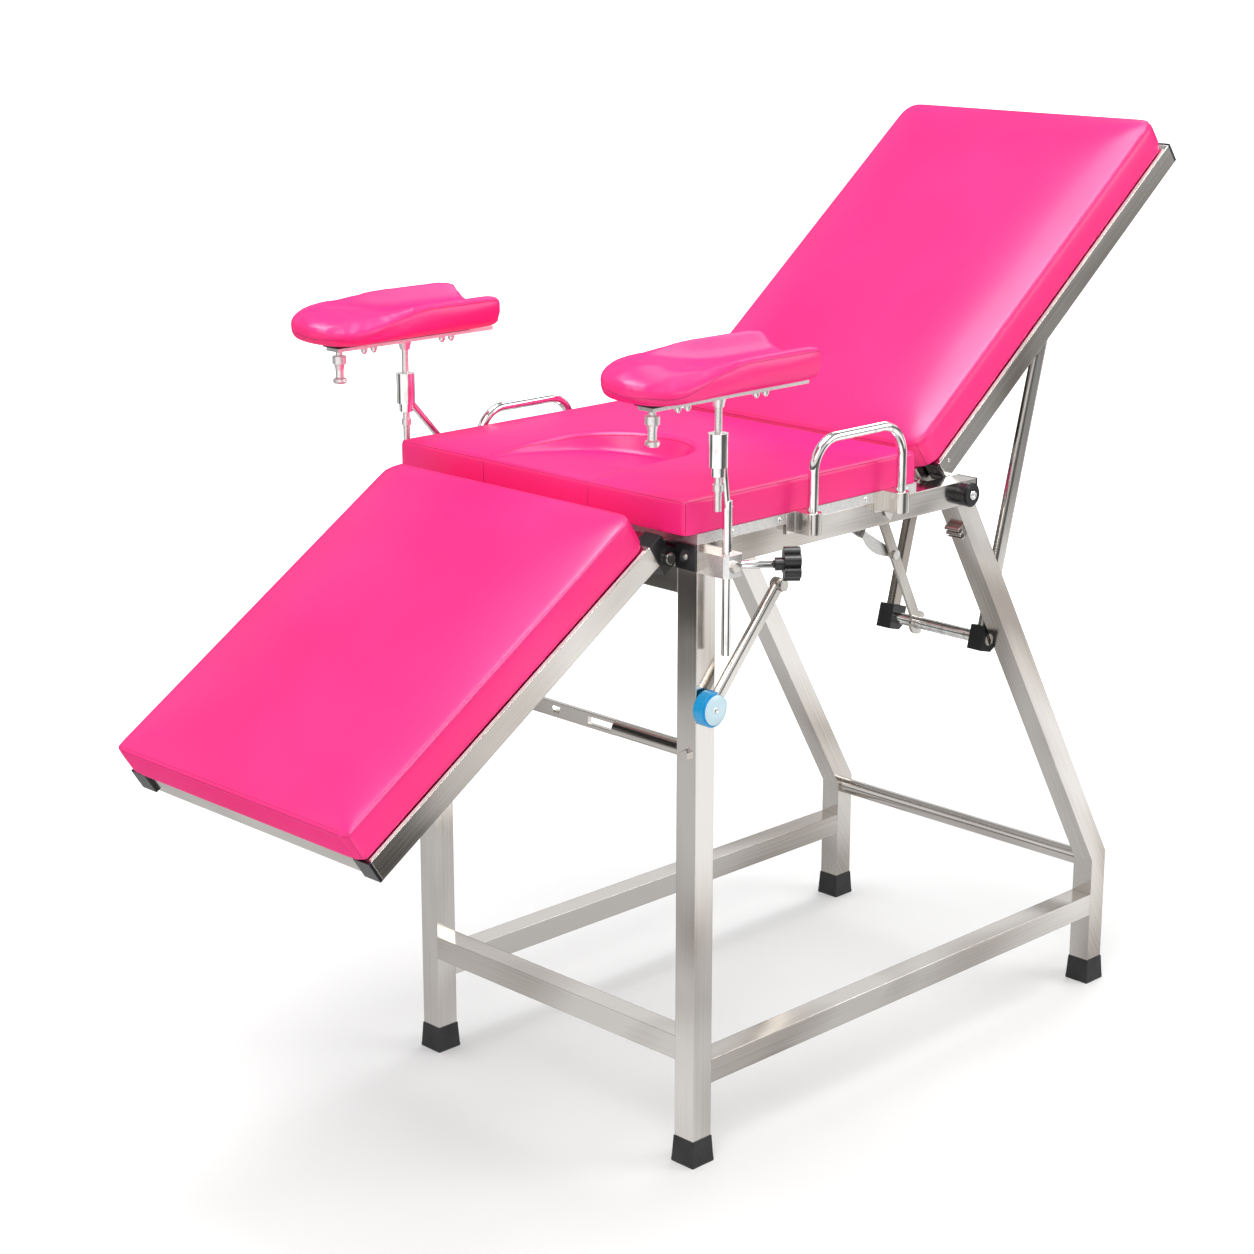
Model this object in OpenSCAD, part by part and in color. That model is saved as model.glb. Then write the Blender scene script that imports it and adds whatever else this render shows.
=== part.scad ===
// Gynaecological examination table: a square tube frame carries a fixed seat,
// a raising backrest, a dropping leg section, two leg holders and two handrails.
// Millimetres. X runs from the foot end to the head end, Y across, Z up.
// The origin is on the floor, under the middle of the table.

/* [Frame] */
// Side of the square tube
tube = 32; // [26:1:38]
// Wall of the square tube
tube_wall = 1.5; // [1:0.1:2.5]
// Width over the legs
frame_w = 520; // [480:5:600]
// How far the front faces of the rear feet stand behind the ends of the seat rails
rear_spread = 308; // [280:2:340]
// Underside of the seat rails
leg_top = 777; // [700:5:800]
// Height of the rubber feet
foot_h = 35; // [25:1:45]
// Underside of the lower side rails
side_rail_z = 107; // [80:5:130]
// Underside of the lower front cross rail
front_rail_z = 139; // [110:5:180]
// Lean of the upper rear legs from the vertical, in degrees
leg_lean = 30.5; // [26:0.5:33]
// Diameter of the round cross tube between the rear legs
rear_tube_d = 24; // [16:1:28]

/* [Seat] */
// Length of the seat rails
seat_rail_l = 528; // [500:2:560]
// How far the seat rails reach past the seat cushion
seat_setback = 123; // [115:1:140]
// How far the seat cushion stands over the front rail
seat_over = 20; // [10:1:25]
// Thickness of the seat cushion
seat_t = 48; // [40:1:60]
// Width of the drain recess at the front of the seat
recess_w = 190; // [140:5:240]
// Length of the drain recess
recess_l = 240; // [180:5:280]
// Height of the aluminium edge strip round the seat board
strip_h = 13; // [9:1:16]

/* [Backrest] */
// Angle of the backrest above level in the resting pose
back_angle = 38; // [30:1:45]
// Length of the backrest rails
back_l = 636; // [580:5:680]
// Thickness of the backrest cushion
back_t = 45; // [36:1:55]
// Width of a backrest or leg section rail
inner_tube_w = 28; // [22:1:32]
// Distance from the hinge to the prop rod
prop_reach = 258; // [245:1:270]
// Distance from the hinge to the stay pins
stay_reach = 137; // [130:1:142]

/* [Leg section] */
// Drop of the leg section below level in the resting pose
leg_angle = 33; // [20:1:45]
// Length of the leg section rails
foot_l = 530; // [480:5:560]
// Thickness of the leg section cushion
foot_t = 44; // [36:1:55]

/* [Leg holders] */
// Distance of the support posts and handrails outside the frame
outrigger = 22; // [22:1:26]
// Length of a gutter pad
pad_l = 292; // [270:2:320]
// Width of a gutter pad
pad_w = 106; // [90:2:130]
// Height of the bar under a gutter pad
bar_z = 987; // [960:1:1010]
// Diameter of the support post
post_d = 12; // [10:1:13]
// Diameter of the swivel rod
swivel_d = 9; // [7:1:9]
// Diameter of the star knob
star_d = 42; // [34:1:43]

/* [Handrails] */
// Height of the handrails above the floor
rail_top_z = 918; // [890:2:925]
// Distance between the two posts of a handrail
rail_span = 167; // [140:1:190]
// Diameter of the handrail tube
rail_d = 13; // [10:1:16]

/* [Side arm] */
// Diameter of the blue ratchet disc
disc_d = 44; // [38:1:50]
// Length of the side arm from the disc centre
arm_l = 186; // [165:1:188]

/* [Hidden] */

$fn = 48;

// Overrun of every cut
over = 1;
// Radial clearance of shafts and pins
fit = 0.05;
// Gap between faces that move past each other
gap = 0.3;

// Places across the frame
half_w = frame_w / 2;
rail_y = half_w - tube / 2;
inside_y = half_w - tube;
side_play = 1.5;
inner_w = 2 * (inside_y - side_play);
inner_y = inner_w / 2 - inner_tube_w / 2;
ear_y = inner_w / 2 - inner_tube_w;
holder_y = half_w + outrigger;

// Rear leg, whose upper part leans toward the seat
wheel_base = seat_rail_l + rear_spread;
lean_w = tube / cos(leg_lean);
rear_top_x = seat_rail_l - lean_w;
mitre_z = leg_top - (wheel_base - rear_top_x) / tan(leg_lean);

// Seat levels
seat_rail_top = leg_top + tube;
board_t = strip_h;
strip_t = 2;
board_z = seat_rail_top;
seat_z = board_z + board_t;
seat_top = seat_z + seat_t;
seat_end_x = seat_rail_l - seat_setback;
seat_l = seat_end_x + seat_over;
recess_d = 32;
cap_t = 4;

// Cushions stand up in the middle and are drawn in at their seams
cushion_crown = 7;
seam_tuck = 3;

// Bolts
bolt_d = 8;
bolt_head_d = 15;
bolt_head_t = 5;

// Backrest hinge, level with the middle of the seat rails
hinge_x = seat_rail_l - 7 / 8 * tube;
hinge_z = leg_top + tube / 2;
shaft_d = 14;
hub_d = 32;
hub_h = 18;
ear_t = 4;
ear_r = 16;
inner_tube_h = 30;
inner_base = 2;
under_t = 3;
board_in = 8;
back_side_in = 8;
back_start = 16;
back_corner_r = 30;

// Prop, stay and their pins, placed from the backrest hinge
prop_at = 285;
prop_angle = -63;
prop_w = 162;
prop_tube_w = 24;
prop_tube_t = 12;
block_l = 44;
block_h = 34;
block_w = 24;
rod_d = 17;
link_w = 16;
link_t = 4;
link_in = 115;
stay_pin_d = 8;
stay_head_d = 13;
stay_head_t = 3;
blade_h = 11;
blade_t = 3;
blade_l = 142;
blade_belly = 7;
channel_l = 160;
channel_wall = 1.5;

// Leg section hinge, in front of the seat
foot_hinge_x = -15;
foot_hinge_drop = 3;
foot_hinge_z = leg_top + tube / 2 - foot_hinge_drop;
foot_bolt_d = 8;
foot_round_r = 14;
foot_start = 16;
foot_cushion_start = 9;
foot_corner_r = 26;
hook_d = 4;

// Leg holders, around the axes of the post and the swivel rod
post_x = 28;
far_post_x = 96;
swivel_x = 11;
post_hang = 104;
post_low = leg_top - post_hang;
sleeve_drop = 42;
sleeve_l = 40;
sleeve_neck_l = 11;
sleeve_top = bar_z - sleeve_drop;
sleeve_step = sleeve_top - sleeve_l;
sleeve_low = sleeve_step - sleeve_neck_l;
neck_rise = 32;
far_neck_rise = 64;
sleeve_d = 24;
sleeve_neck_d = 18;
neck_d = 9;
swivel_l = 135;
swivel_low = bar_z - swivel_l;
clip_h = 8;
clip_gap = 10;
clip_z = sleeve_low - clip_gap - clip_h;
clip_d = 13;
collar_d = 18;
collar_h = 11;
bar_w = 24;
bar_t = 5;
bar_front = -109;
bar_back = 155;
spindle_x = -98;
spindle_l = 42;
clamp_w = 32;
clamp_h = 27;
clamp_d = 36;
clamp_drop = 6;
clamp_z = leg_top - clamp_drop;
knob_reach = 77;
knob_turn = 42;
star_t = 20;
star_rod_d = 8;
star_lobes = 6;
pad_front = -157;
pad_h = 51;

// Handrails, of which the far one stands further forward and lower
rail_x = 180;
far_rail_x = 140;
far_rail_drop = 34;
rail_bend_r = 40;
socket_w = 22;
socket_h = 27;
socket_rise = 19;
socket_z = leg_top + socket_rise;
flange_w = 15;
flange_t = 3;
tongue_t = 3;

// Side arm
disc_x = 12;
disc_z = 607;
backing_d = 31;
backing_t = 4;
disc_t = 17;
arm_w = 18;
arm_t = 12;
arm_angle = 48.7;
arm_socket = 9;

// Slotted cross bar
slot_bar_x = tube / 2;
slot_bar_z = 545;
slot_bar_d = 20;
slot_plate_h = 20;
slot_plate_t = 6;
slot_plate_l = 216;

// Whole length, from the foot tip to the head tip, which centres the model
foot_top = inner_base + inner_tube_h + under_t + foot_t - cushion_crown;
foot_tip_x = foot_hinge_x - (foot_l + seam_tuck) * cos(leg_angle) - foot_top * sin(leg_angle);
head_tip_x = hinge_x + (back_l + cap_t) * cos(back_angle) - inner_base * sin(back_angle);
mid_x = (foot_tip_x + head_tip_x) / 2;

steel = "silver";
pink = "hotpink";
black = "dimgray";

module put() translate([-mid_x, 0, 0]) children();

module both_sides() { children(); mirror([0, 1, 0]) children(); }

// An outline drawn in X and Z, as a plate around y
module plate(y, t) translate([0, y, 0]) rotate([90, 0, 0])
    linear_extrude(t, center = true) children();

module rod_y(d, x, z, y0, y1) translate([x, y0, z]) rotate([-90, 0, 0]) cylinder(d = d, h = y1 - y0);

module rod_x(d, x0, x1, y, z) translate([x0, y, z]) rotate([0, 90, 0]) cylinder(d = d, h = x1 - x0);

module rod_z(d, x, y, z0, z1) translate([x, y, z0]) cylinder(d = d, h = z1 - z0);

// A square tube along X, open at both ends
module tube_x(x0, x1, y, z0) difference() {
    translate([x0, y - tube / 2, z0]) cube([x1 - x0, tube, tube]);
    translate([x0 - over, y - tube / 2 + tube_wall, z0 + tube_wall])
        cube([x1 - x0 + 2 * over, tube - 2 * tube_wall, tube - 2 * tube_wall]);
}

// A square tube across the frame
module tube_y(x0, z0, side) difference() {
    translate([x0, -inside_y, z0]) cube([tube, 2 * inside_y, side]);
    translate([x0 + tube_wall, -inside_y - over, z0 + tube_wall])
        cube([tube - 2 * tube_wall, 2 * (inside_y + over), side - 2 * tube_wall]);
}

// The frame of the backrest: X along it from the hinge, Z square to it
module back_frame(angle = back_angle) put() translate([hinge_x, 0, hinge_z])
    rotate([0, -angle, 0]) children();

// The frame of the leg section: minus X along it from the hinge
module foot_frame() put() translate([foot_hinge_x, 0, foot_hinge_z])
    rotate([0, -leg_angle, 0]) children();

// A rounded rectangle as points, n to a corner
function round_ring(l, w, r, n) = [for (c = [0 : 3]) for (i = [0 : n])
    let (a = 90 * c + 90 * i / n,
        x = (c == 0 || c == 3) ? l / 2 - r : r - l / 2,
        y = c < 2 ? w / 2 - r : r - w / 2)
    [x + r * cos(a), y + r * sin(a)]];

// A cushion: sides drawn in at the seams and a crowned top
module pillow(l, w, h, r) {
    n = 5;
    side_steps = 6;
    top_shares = [0.97, 0.9, 0.75, 0.5, 0.2];
    count = 4 * (n + 1);
    side_h = h - cushion_crown;
    rings = concat(
        [for (k = [0 : side_steps])
            let (t = k / side_steps, draw = seam_tuck * (1 - sin(180 * t)))
            [for (p = round_ring(l - 2 * draw, w - 2 * draw, r, n)) [p[0], p[1], side_h * t]]],
        [for (s = top_shares)
            [for (p = round_ring(l - 2 * seam_tuck, w - 2 * seam_tuck, r, n))
                [p[0] * s, p[1] * s, h - cushion_crown * pow(s, 6)]]]);
    last = len(rings) - 1;
    points = [for (ring = rings) each ring];
    faces = concat(
        [[for (i = [0 : count - 1]) i]],
        [for (k = [0 : last - 1]) for (i = [0 : count - 1])
            let (j = (i + 1) % count)
            each [[k * count + i, (k + 1) * count + i, (k + 1) * count + j],
                [k * count + i, (k + 1) * count + j, k * count + j]]],
        [[for (i = [count - 1 : -1 : 0]) last * count + i]]);
    polyhedron(points, faces);
}

// Frame

module front_leg() color(steel) put() difference() {
    translate([0, -half_w, foot_h]) cube([tube, tube, leg_top - foot_h]);
    translate([tube_wall, tube_wall - half_w, foot_h - over])
        cube([tube - 2 * tube_wall, tube - 2 * tube_wall, leg_top - foot_h + 2 * over]);
    translate([0, -rail_y, slot_bar_z]) rotate([0, 90, 0])
        cylinder(d = bolt_d + 2 * fit, h = 3 * tube, center = true);
}

// Outline of the bent rear leg, drawn in by a wall and run past its ends
function rear_leg_points(wall, past) = let (far_wall = tube - wall) [
    [rear_top_x + wall / cos(leg_lean) - past * tan(leg_lean), leg_top + past],
    [wheel_base + wall, mitre_z + wall * tan(leg_lean / 2)],
    [wheel_base + wall, foot_h - past],
    [wheel_base + far_wall, foot_h - past],
    [wheel_base + far_wall, mitre_z + far_wall * tan(leg_lean / 2)],
    [rear_top_x + far_wall / cos(leg_lean) - past * tan(leg_lean), leg_top + past]];

module rear_leg() color(steel) put() difference() {
    plate(-rail_y, tube) polygon(rear_leg_points(0, 0));
    plate(-rail_y, tube - 2 * tube_wall) polygon(rear_leg_points(tube_wall, over));
}

module side_rail() color(steel) put() tube_x(tube, wheel_base, -rail_y, side_rail_z);

module front_low_rail() color(steel) put() tube_y(0, front_rail_z, tube);

module front_top_bar() color(steel) put() tube_y(0, leg_top - tube, tube);

// Round at its ends, pressed flat in the middle, with a toothed hole and two slots
module slotted_cross_bar() {
    end_l = inside_y - slot_plate_l / 2;
    slot_l = 45;
    slot_h = slot_plate_h / 2;
    tooth = 4;
    slot_y = slot_plate_l / 2 - slot_l / 2 - tooth;
    color(steel) put() translate([slot_bar_x, 0, slot_bar_z]) difference() {
        union() {
            both_sides() translate([0, -inside_y, 0]) rotate([-90, 0, 0])
                cylinder(d = slot_bar_d, h = end_l);
            cube([slot_plate_t, slot_plate_l, slot_plate_h], center = true);
        }
        both_sides() translate([0, slot_y, 0])
            cube([2 * slot_plate_t, slot_l, slot_h], center = true);
        rotate([0, 90, 0]) linear_extrude(2 * slot_plate_t, center = true)
            polygon([[-slot_h / 2, -2 * tooth], [-slot_h / 2, 2 * tooth],
                [slot_h / 2, tooth], [0, tooth / 2], [slot_h / 2, 0],
                [0, -tooth / 2], [slot_h / 2, -tooth]]);
        both_sides() translate([0, -inside_y - over, 0]) rotate([-90, 0, 0])
            cylinder(d = slot_bar_d - 2 * tube_wall, h = end_l - slot_bar_d);
    }
}

module rear_cross_tube() color(steel) put() difference() {
    x = wheel_base + tube / 2;
    z = mitre_z - rear_tube_d / 4;
    rod_y(rear_tube_d, x, z, -inside_y, inside_y);
    rod_y(rear_tube_d - 2 * tube_wall, x, z, -inside_y - over, inside_y + over);
}

// Square rubber cup that flares toward the floor, with a plug inside the tube
module rubber_foot() {
    flare = 3;
    rim = 1;
    plug = 12;
    bore = tube - 2 * tube_wall;
    hull() {
        translate([-flare, -flare, 0]) cube([tube + 2 * flare, tube + 2 * flare, rim]);
        translate([-rim, -rim, foot_h - rim]) cube([tube + 2 * rim, tube + 2 * rim, rim]);
    }
    translate([tube_wall, tube_wall, foot_h - rim]) cube([bore, bore, plug]);
}

module rubber_feet() color(black) put() both_sides()
    for (x = [0, wheel_base]) translate([x, -half_w, 0]) rubber_foot();

// Seat

module seat_rail() color(steel) put() difference() {
    tube_x(0, seat_rail_l, -rail_y, leg_top);
    rod_y(shaft_d + 2 * fit, hinge_x, hinge_z, -half_w - over, -inside_y + over);
}

// The front bar carries the two ears of the leg section hinge
module seat_front_bar() color(steel) put() {
    tube_y(0, leg_top, tube);
    both_sides() plate(-ear_y + gap + ear_t / 2, ear_t) difference() {
        union() {
            translate([foot_hinge_x, foot_hinge_z]) circle(r = foot_round_r);
            translate([foot_hinge_x, foot_hinge_z - foot_round_r])
                square([-foot_hinge_x, 2 * foot_round_r]);
        }
        translate([foot_hinge_x, foot_hinge_z]) circle(d = foot_bolt_d + 2 * fit);
    }
}

// The rear bar carries the fork in which the stay channel turns
channel_w = blade_t + 2 * gap + 2 * channel_wall;
link_y = link_in - inner_y;
stay_y = link_y + link_t / 2 + gap + channel_w / 2;
stay_pin_x = hinge_x - stay_reach;
stay_pin_z = hinge_z;
channel_h = blade_h + gap + channel_wall;
fork_t = 4;

module seat_rear_bar() {
    fork_r = tube / 2 - over;
    bar_x = stay_pin_x - 2 * fork_r - tube;
    color(steel) put() {
        tube_y(bar_x, leg_top, tube);
        for (side = [-1, 1]) plate(stay_y + side * (channel_w / 2 + gap + fork_t / 2), fork_t)
            difference() {
                union() {
                    translate([stay_pin_x, stay_pin_z]) circle(r = fork_r);
                    translate([bar_x + tube - tube_wall, stay_pin_z - fork_r])
                        square([stay_pin_x - bar_x - tube + tube_wall, 2 * fork_r]);
                }
                translate([stay_pin_x, stay_pin_z]) circle(d = stay_pin_d);
            }
    }
}

module seat_board() color("white") put()
    translate([strip_t, strip_t - half_w, board_z])
        cube([seat_end_x - 2 * strip_t, frame_w - 2 * strip_t, board_t]);

module seat_edge_strip() color("gainsboro") put() difference() {
    translate([0, -half_w, board_z]) cube([seat_end_x, frame_w, strip_h]);
    translate([strip_t, strip_t - half_w, board_z - over])
        cube([seat_end_x - 2 * strip_t, frame_w - 2 * strip_t, strip_h + 2 * over]);
}

// The drain recess slopes down from the front edge to a steep round wall
module seat_cushion() {
    corner_r = 12;
    slope = atan(recess_d / recess_l);
    straight = recess_l - recess_w / 2;
    color(pink) put() difference() {
        translate([seat_end_x / 2 - seat_over / 2, 0, seat_z])
            pillow(seat_l, frame_w, seat_t, corner_r);
        translate([-seat_over, 0, seat_top - cushion_crown / 2]) rotate([0, slope, 0])
            linear_extrude(2 * seat_t) {
                translate([-recess_w / 2, -recess_w / 2]) square([straight + recess_w / 2, recess_w]);
                translate([straight, 0]) circle(d = recess_w);
            }
    }
}

// Caps in the open ends of the seat rails and plugs with a screw
module rail_end_caps() color(black) put() both_sides() for (x = [-cap_t, seat_rail_l]) {
    translate([x, -half_w, leg_top]) cube([cap_t, tube, tube]);
    plug = tube - 2 * tube_wall;
    plug_x = x < 0 ? 0 : seat_rail_l - cap_t;
    translate([plug_x, tube_wall - half_w, leg_top + tube_wall]) cube([cap_t, plug, plug]);
}

module hinge_shaft() color(steel) put()
    rod_y(shaft_d, hinge_x, hinge_z, -half_w - hub_h / 2, half_w + hub_h / 2);

module hub_caps() color(black) put() both_sides() difference() {
    rim = 2;
    union() {
        rod_y(hub_d, hinge_x, hinge_z, -half_w - hub_h + rim, -half_w);
        rod_y(hub_d - 2 * rim, hinge_x, hinge_z, -half_w - hub_h, -half_w);
    }
    rod_y(shaft_d, hinge_x, hinge_z, -half_w - hub_h / 2, -half_w + over);
    rod_y(hub_d / 2, hinge_x, hinge_z, -half_w - hub_h - over, -half_w - hub_h + rim);
}

// Loops on the seat rails that take the handrail posts, with a tongue below
module handrail_socket(x) {
    screw_d = 6;
    difference() {
        union() {
            translate([x, 0, socket_z]) linear_extrude(socket_h) {
                translate([-socket_w / 2, -holder_y]) square([socket_w, holder_y - half_w]);
                translate([0, -holder_y]) circle(d = socket_w);
                translate([-socket_w / 2 - flange_w, -half_w - flange_t]) square([flange_w, flange_t]);
            }
            rod_x(screw_d, x, x + socket_w / 2 + flange_t, -holder_y, socket_z + socket_h / 2);
        }
        rod_z(rail_d + 2 * fit, x, -holder_y, socket_z - over, socket_z + socket_h + over);
    }
}

module tongue(x) plate(-half_w - flange_t / 2, tongue_t) {
    tongue_w = 18;
    tongue_h = 15;
    translate([x, socket_z]) polygon([[-tongue_w / 2, over], [tongue_w / 2, over],
        [tongue_w / 2, -tongue_h / 2], [tongue_w / 4, -tongue_h], [-tongue_w / 4, -tongue_h / 2]]);
}

module handrail_sockets() color(steel) put() for (side = [0, 1]) mirror([0, side, 0]) {
    x = side == 0 ? rail_x : far_rail_x;
    handrail_socket(x);
    handrail_socket(x + rail_span);
    tongue(x + rail_span);
}

// Clamp that holds a support post, with a cross hole for the star screw
module post_clamp(at_x) color(steel) put() difference() {
    chamfer = 5;
    translate([at_x, 0, clamp_z]) linear_extrude(clamp_h) polygon([
        [-clamp_w / 2, -half_w], [clamp_w / 2, -half_w],
        [clamp_w / 2, -half_w - clamp_d + chamfer], [clamp_w / 2 - chamfer, -half_w - clamp_d],
        [chamfer - clamp_w / 2, -half_w - clamp_d], [-clamp_w / 2, -half_w - clamp_d + chamfer]]);
    rod_z(post_d + 2 * fit, at_x, -holder_y, clamp_z - over, clamp_z + clamp_h + over);
    translate([at_x, -holder_y, clamp_z + clamp_h / 2]) rotate([0, 90, -knob_turn])
        cylinder(d = star_rod_d + 2 * fit, h = clamp_d);
}

// Two spring loops on a small plate, on the front face of the near rear leg
module spring_clip() {
    drop = 37;
    plate_w = 24;
    plate_l = 18;
    plate_t = 1.5;
    loop_d = 10;
    color(steel) put()
        translate([rear_top_x + drop * tan(leg_lean), -rail_y, leg_top - drop])
        rotate([0, -leg_lean, 0]) {
            translate([-plate_t, -plate_w / 2, -plate_l / 2]) cube([plate_t, plate_w, plate_l]);
            for (side = [-1, 1]) translate([-loop_d / 2 - plate_t / 2, 0, side * (loop_d - plate_t) / 2])
                difference() {
                    rotate([90, 0, 0]) cylinder(d = loop_d, h = plate_w, center = true);
                    rotate([90, 0, 0])
                        cylinder(d = loop_d - 2 * plate_t, h = 2 * plate_w, center = true);
                    translate([-loop_d, -plate_w, -loop_d / 6])
                        cube([loop_d, 2 * plate_w, loop_d / 3]);
                }
        }
}

module arm_backing_disc() color(black) put()
    rod_y(backing_d, disc_x, disc_z, -half_w - backing_t, -half_w);

// Bolts of the cross bar, the leg section hinge, the stay and the clamps
module cross_bar_bolt() {
    rod_x(bolt_d, 0, tube, -rail_y, slot_bar_z);
    translate([-bolt_head_t, -rail_y, slot_bar_z]) rotate([0, 90, 0])
        cylinder(d = bolt_head_d, h = bolt_head_t, $fn = 6);
    rod_x(bolt_head_d, tube, tube + bolt_head_t, -rail_y, slot_bar_z);
}

module frame_bolts() color("gray") put() {
    for (side = [0, 1]) mirror([0, side, 0])
        translate([side == 0 ? post_x : far_post_x, -half_w - clamp_d, clamp_z + clamp_h / 2])
        translate([star_rod_d - clamp_w / 2 + bolt_head_t, 0, 0]) rotate([90, 0, 0])
        cylinder(d = bolt_head_d, h = bolt_head_t, $fn = 6);
    both_sides() {
        cross_bar_bolt();
        rod_y(foot_bolt_d, foot_hinge_x, foot_hinge_z, -inner_w / 2 - gap, -ear_y + gap + ear_t);
        rod_y(bolt_head_d, foot_hinge_x, foot_hinge_z,
            -inner_w / 2 - gap - bolt_head_t, -inner_w / 2 - gap);
    }
    rod_y(stay_pin_d, stay_pin_x, stay_pin_z, stay_y - channel_w, stay_y + channel_w);
}

// Backrest

module inner_rail(x0, x1) difference() {
    translate([x0, -inner_w / 2, inner_base]) cube([x1 - x0, inner_tube_w, inner_tube_h]);
    translate([x0 - over, tube_wall - inner_w / 2, inner_base + tube_wall])
        cube([x1 - x0 + 2 * over, inner_tube_w - 2 * tube_wall, inner_tube_h - 2 * tube_wall]);
}

// Rail with the ear that turns on the hinge shaft
module back_rail() color(steel) back_frame() {
    inner_rail(ear_r, back_l);
    plate(-ear_y + ear_t / 2, ear_t) difference() {
        union() {
            circle(r = ear_r);
            translate([0, -ear_r / 2]) square([2 * ear_r, ear_r / 2 + inner_base + inner_tube_h]);
            translate([-ear_r, 0]) square([ear_r, inner_base]);
        }
        circle(d = shaft_d + 2 * fit);
    }
}

module back_cross_bars() color(steel) back_frame()
    for (x = [back_start + 3 * ear_r, prop_at - inner_tube_h / 2, back_l - inner_tube_h])
        difference() {
            translate([x, -ear_y, inner_base])
                cube([inner_tube_h, 2 * ear_y, inner_tube_h]);
            translate([x + tube_wall, -ear_y - over, inner_base + tube_wall])
                cube([inner_tube_h - 2 * tube_wall, 2 * (ear_y + over), inner_tube_h - 2 * tube_wall]);
        }

module back_board() color(black) back_frame()
    translate([back_start + board_in, back_side_in + board_in - inner_w / 2, inner_base + inner_tube_h])
        cube([back_l - back_start - 2 * board_in, inner_w - 2 * (back_side_in + board_in), under_t]);

module back_cushion() {
    l = back_l - back_start + seam_tuck;
    color(pink) back_frame()
        translate([back_start + l / 2, 0, inner_base + inner_tube_h + under_t])
        pillow(l, inner_w - 2 * back_side_in + 2 * seam_tuck, back_t, back_corner_r);
}

module back_end_caps() color(black) back_frame() both_sides() {
    translate([back_l, -inner_w / 2, inner_base]) cube([cap_t, inner_tube_w, inner_tube_h]);
    translate([ear_r - cap_t, -inner_w / 2, inner_base]) cube([cap_t, inner_tube_w - ear_t, inner_tube_h]);
}

// Foot of the prop, where its rod runs, in the frame of the backrest
prop_foot = [prop_reach * cos(prop_angle - back_angle), prop_reach * sin(prop_angle - back_angle)];
prop_lean = atan2(prop_at - prop_foot[0], inner_base - prop_foot[1]);

// An oval tube from the foot of the prop to the underside of a backrest rail
module prop_tube() {
    l = norm([prop_at - prop_foot[0], inner_base - prop_foot[1]]);
    difference() {
        translate([prop_foot[0], -inner_y, prop_foot[1]]) rotate([0, prop_lean, 0])
            linear_extrude(l + prop_tube_w) difference() {
                oval(prop_tube_w, prop_tube_t);
                oval(prop_tube_w - 2 * tube_wall, prop_tube_t - 2 * tube_wall);
            }
        translate([0, -frame_w, inner_base]) cube([back_l, 2 * frame_w, 2 * prop_tube_w]);
        translate([prop_foot[0], -inner_y, prop_foot[1]]) rotate([0, prop_lean, 0])
            cube([2 * block_w, 2 * block_w, block_h], center = true);
    }
}

module oval(w, t) {
    square([w - t, t], center = true);
    for (side = [-1, 1]) translate([side * (w - t) / 2, 0]) circle(d = t);
}

module prop_pair() for (shift = [0, prop_w]) translate([0, shift, 0]) children();

module prop_tubes() color(steel) back_frame() prop_pair() prop_tube();

module prop_blocks() color(black) back_frame() prop_pair() difference() {
    translate([prop_foot[0], -inner_y, prop_foot[1]]) rotate([0, prop_lean, 0]) {
        bevel = 7;
        rotate([90, 0, 0]) linear_extrude(block_w, center = true) polygon([
            [-block_l / 3, -block_h / 2], [block_l / 3 - bevel, -block_h / 2],
            [block_l / 3, bevel - block_h / 2], [block_l / 3, block_h / 2],
            [-block_l / 3, block_h / 2]]);
    }
    rod_y(rod_d, prop_foot[0], prop_foot[1], -half_w, half_w);
}

module prop_rod() color(steel) back_frame()
    rod_y(rod_d, prop_foot[0], prop_foot[1], -inner_y - block_w / 2, prop_w - inner_y + block_w / 2);

// Flat link from the hinge shaft to the prop rod, hooked round the rod
module stay_link() {
    turn = prop_angle - back_angle;
    color(steel) back_frame() plate(link_y, link_t) difference() {
        union() {
            circle(r = ear_r - over);
            rotate(turn) translate([0, -link_w / 2]) square([prop_reach, link_w]);
            rotate(turn) translate([prop_reach, 0]) circle(d = rod_d + link_w);
        }
        circle(d = shaft_d + 2 * fit);
        rotate(turn) translate([stay_reach, 0]) circle(d = stay_pin_d + 2 * fit);
        rotate(turn) translate([prop_reach, 0]) circle(d = rod_d + 2 * fit);
        rotate(turn) translate([prop_reach, 0]) square([2 * rod_d, rod_d]);
    }
}

// Telescoping stay: its channel turns on the seat and its blade on the link
stay_pin_low = [hinge_x + stay_reach * cos(prop_angle), hinge_z + stay_reach * sin(prop_angle)];
stay_angle = atan2(stay_pin_low[1] - stay_pin_z, stay_pin_low[0] - stay_pin_x);

module stay_frame(at) put() translate([at[0], 0, at[1]]) rotate([0, -stay_angle, 0]) children();

module stay_channel() {
    eye_r = stay_pin_d;
    color("gray") stay_frame([stay_pin_x, stay_pin_z]) difference() {
        union() {
            translate([0, stay_y - channel_w / 2, -blade_h / 2 - gap])
                cube([channel_l, channel_w, channel_h + gap]);
            plate(stay_y, channel_w) circle(r = eye_r);
        }
        translate([-2 * eye_r, stay_y - blade_t / 2 - gap, -eye_r - over])
            cube([channel_l + 3 * eye_r, blade_t + 2 * gap, eye_r + over + blade_h / 2 + gap]);
        rod_y(stay_pin_d + 2 * fit, 0, 0, stay_y - channel_w, stay_y + channel_w);
    }
}

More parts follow.
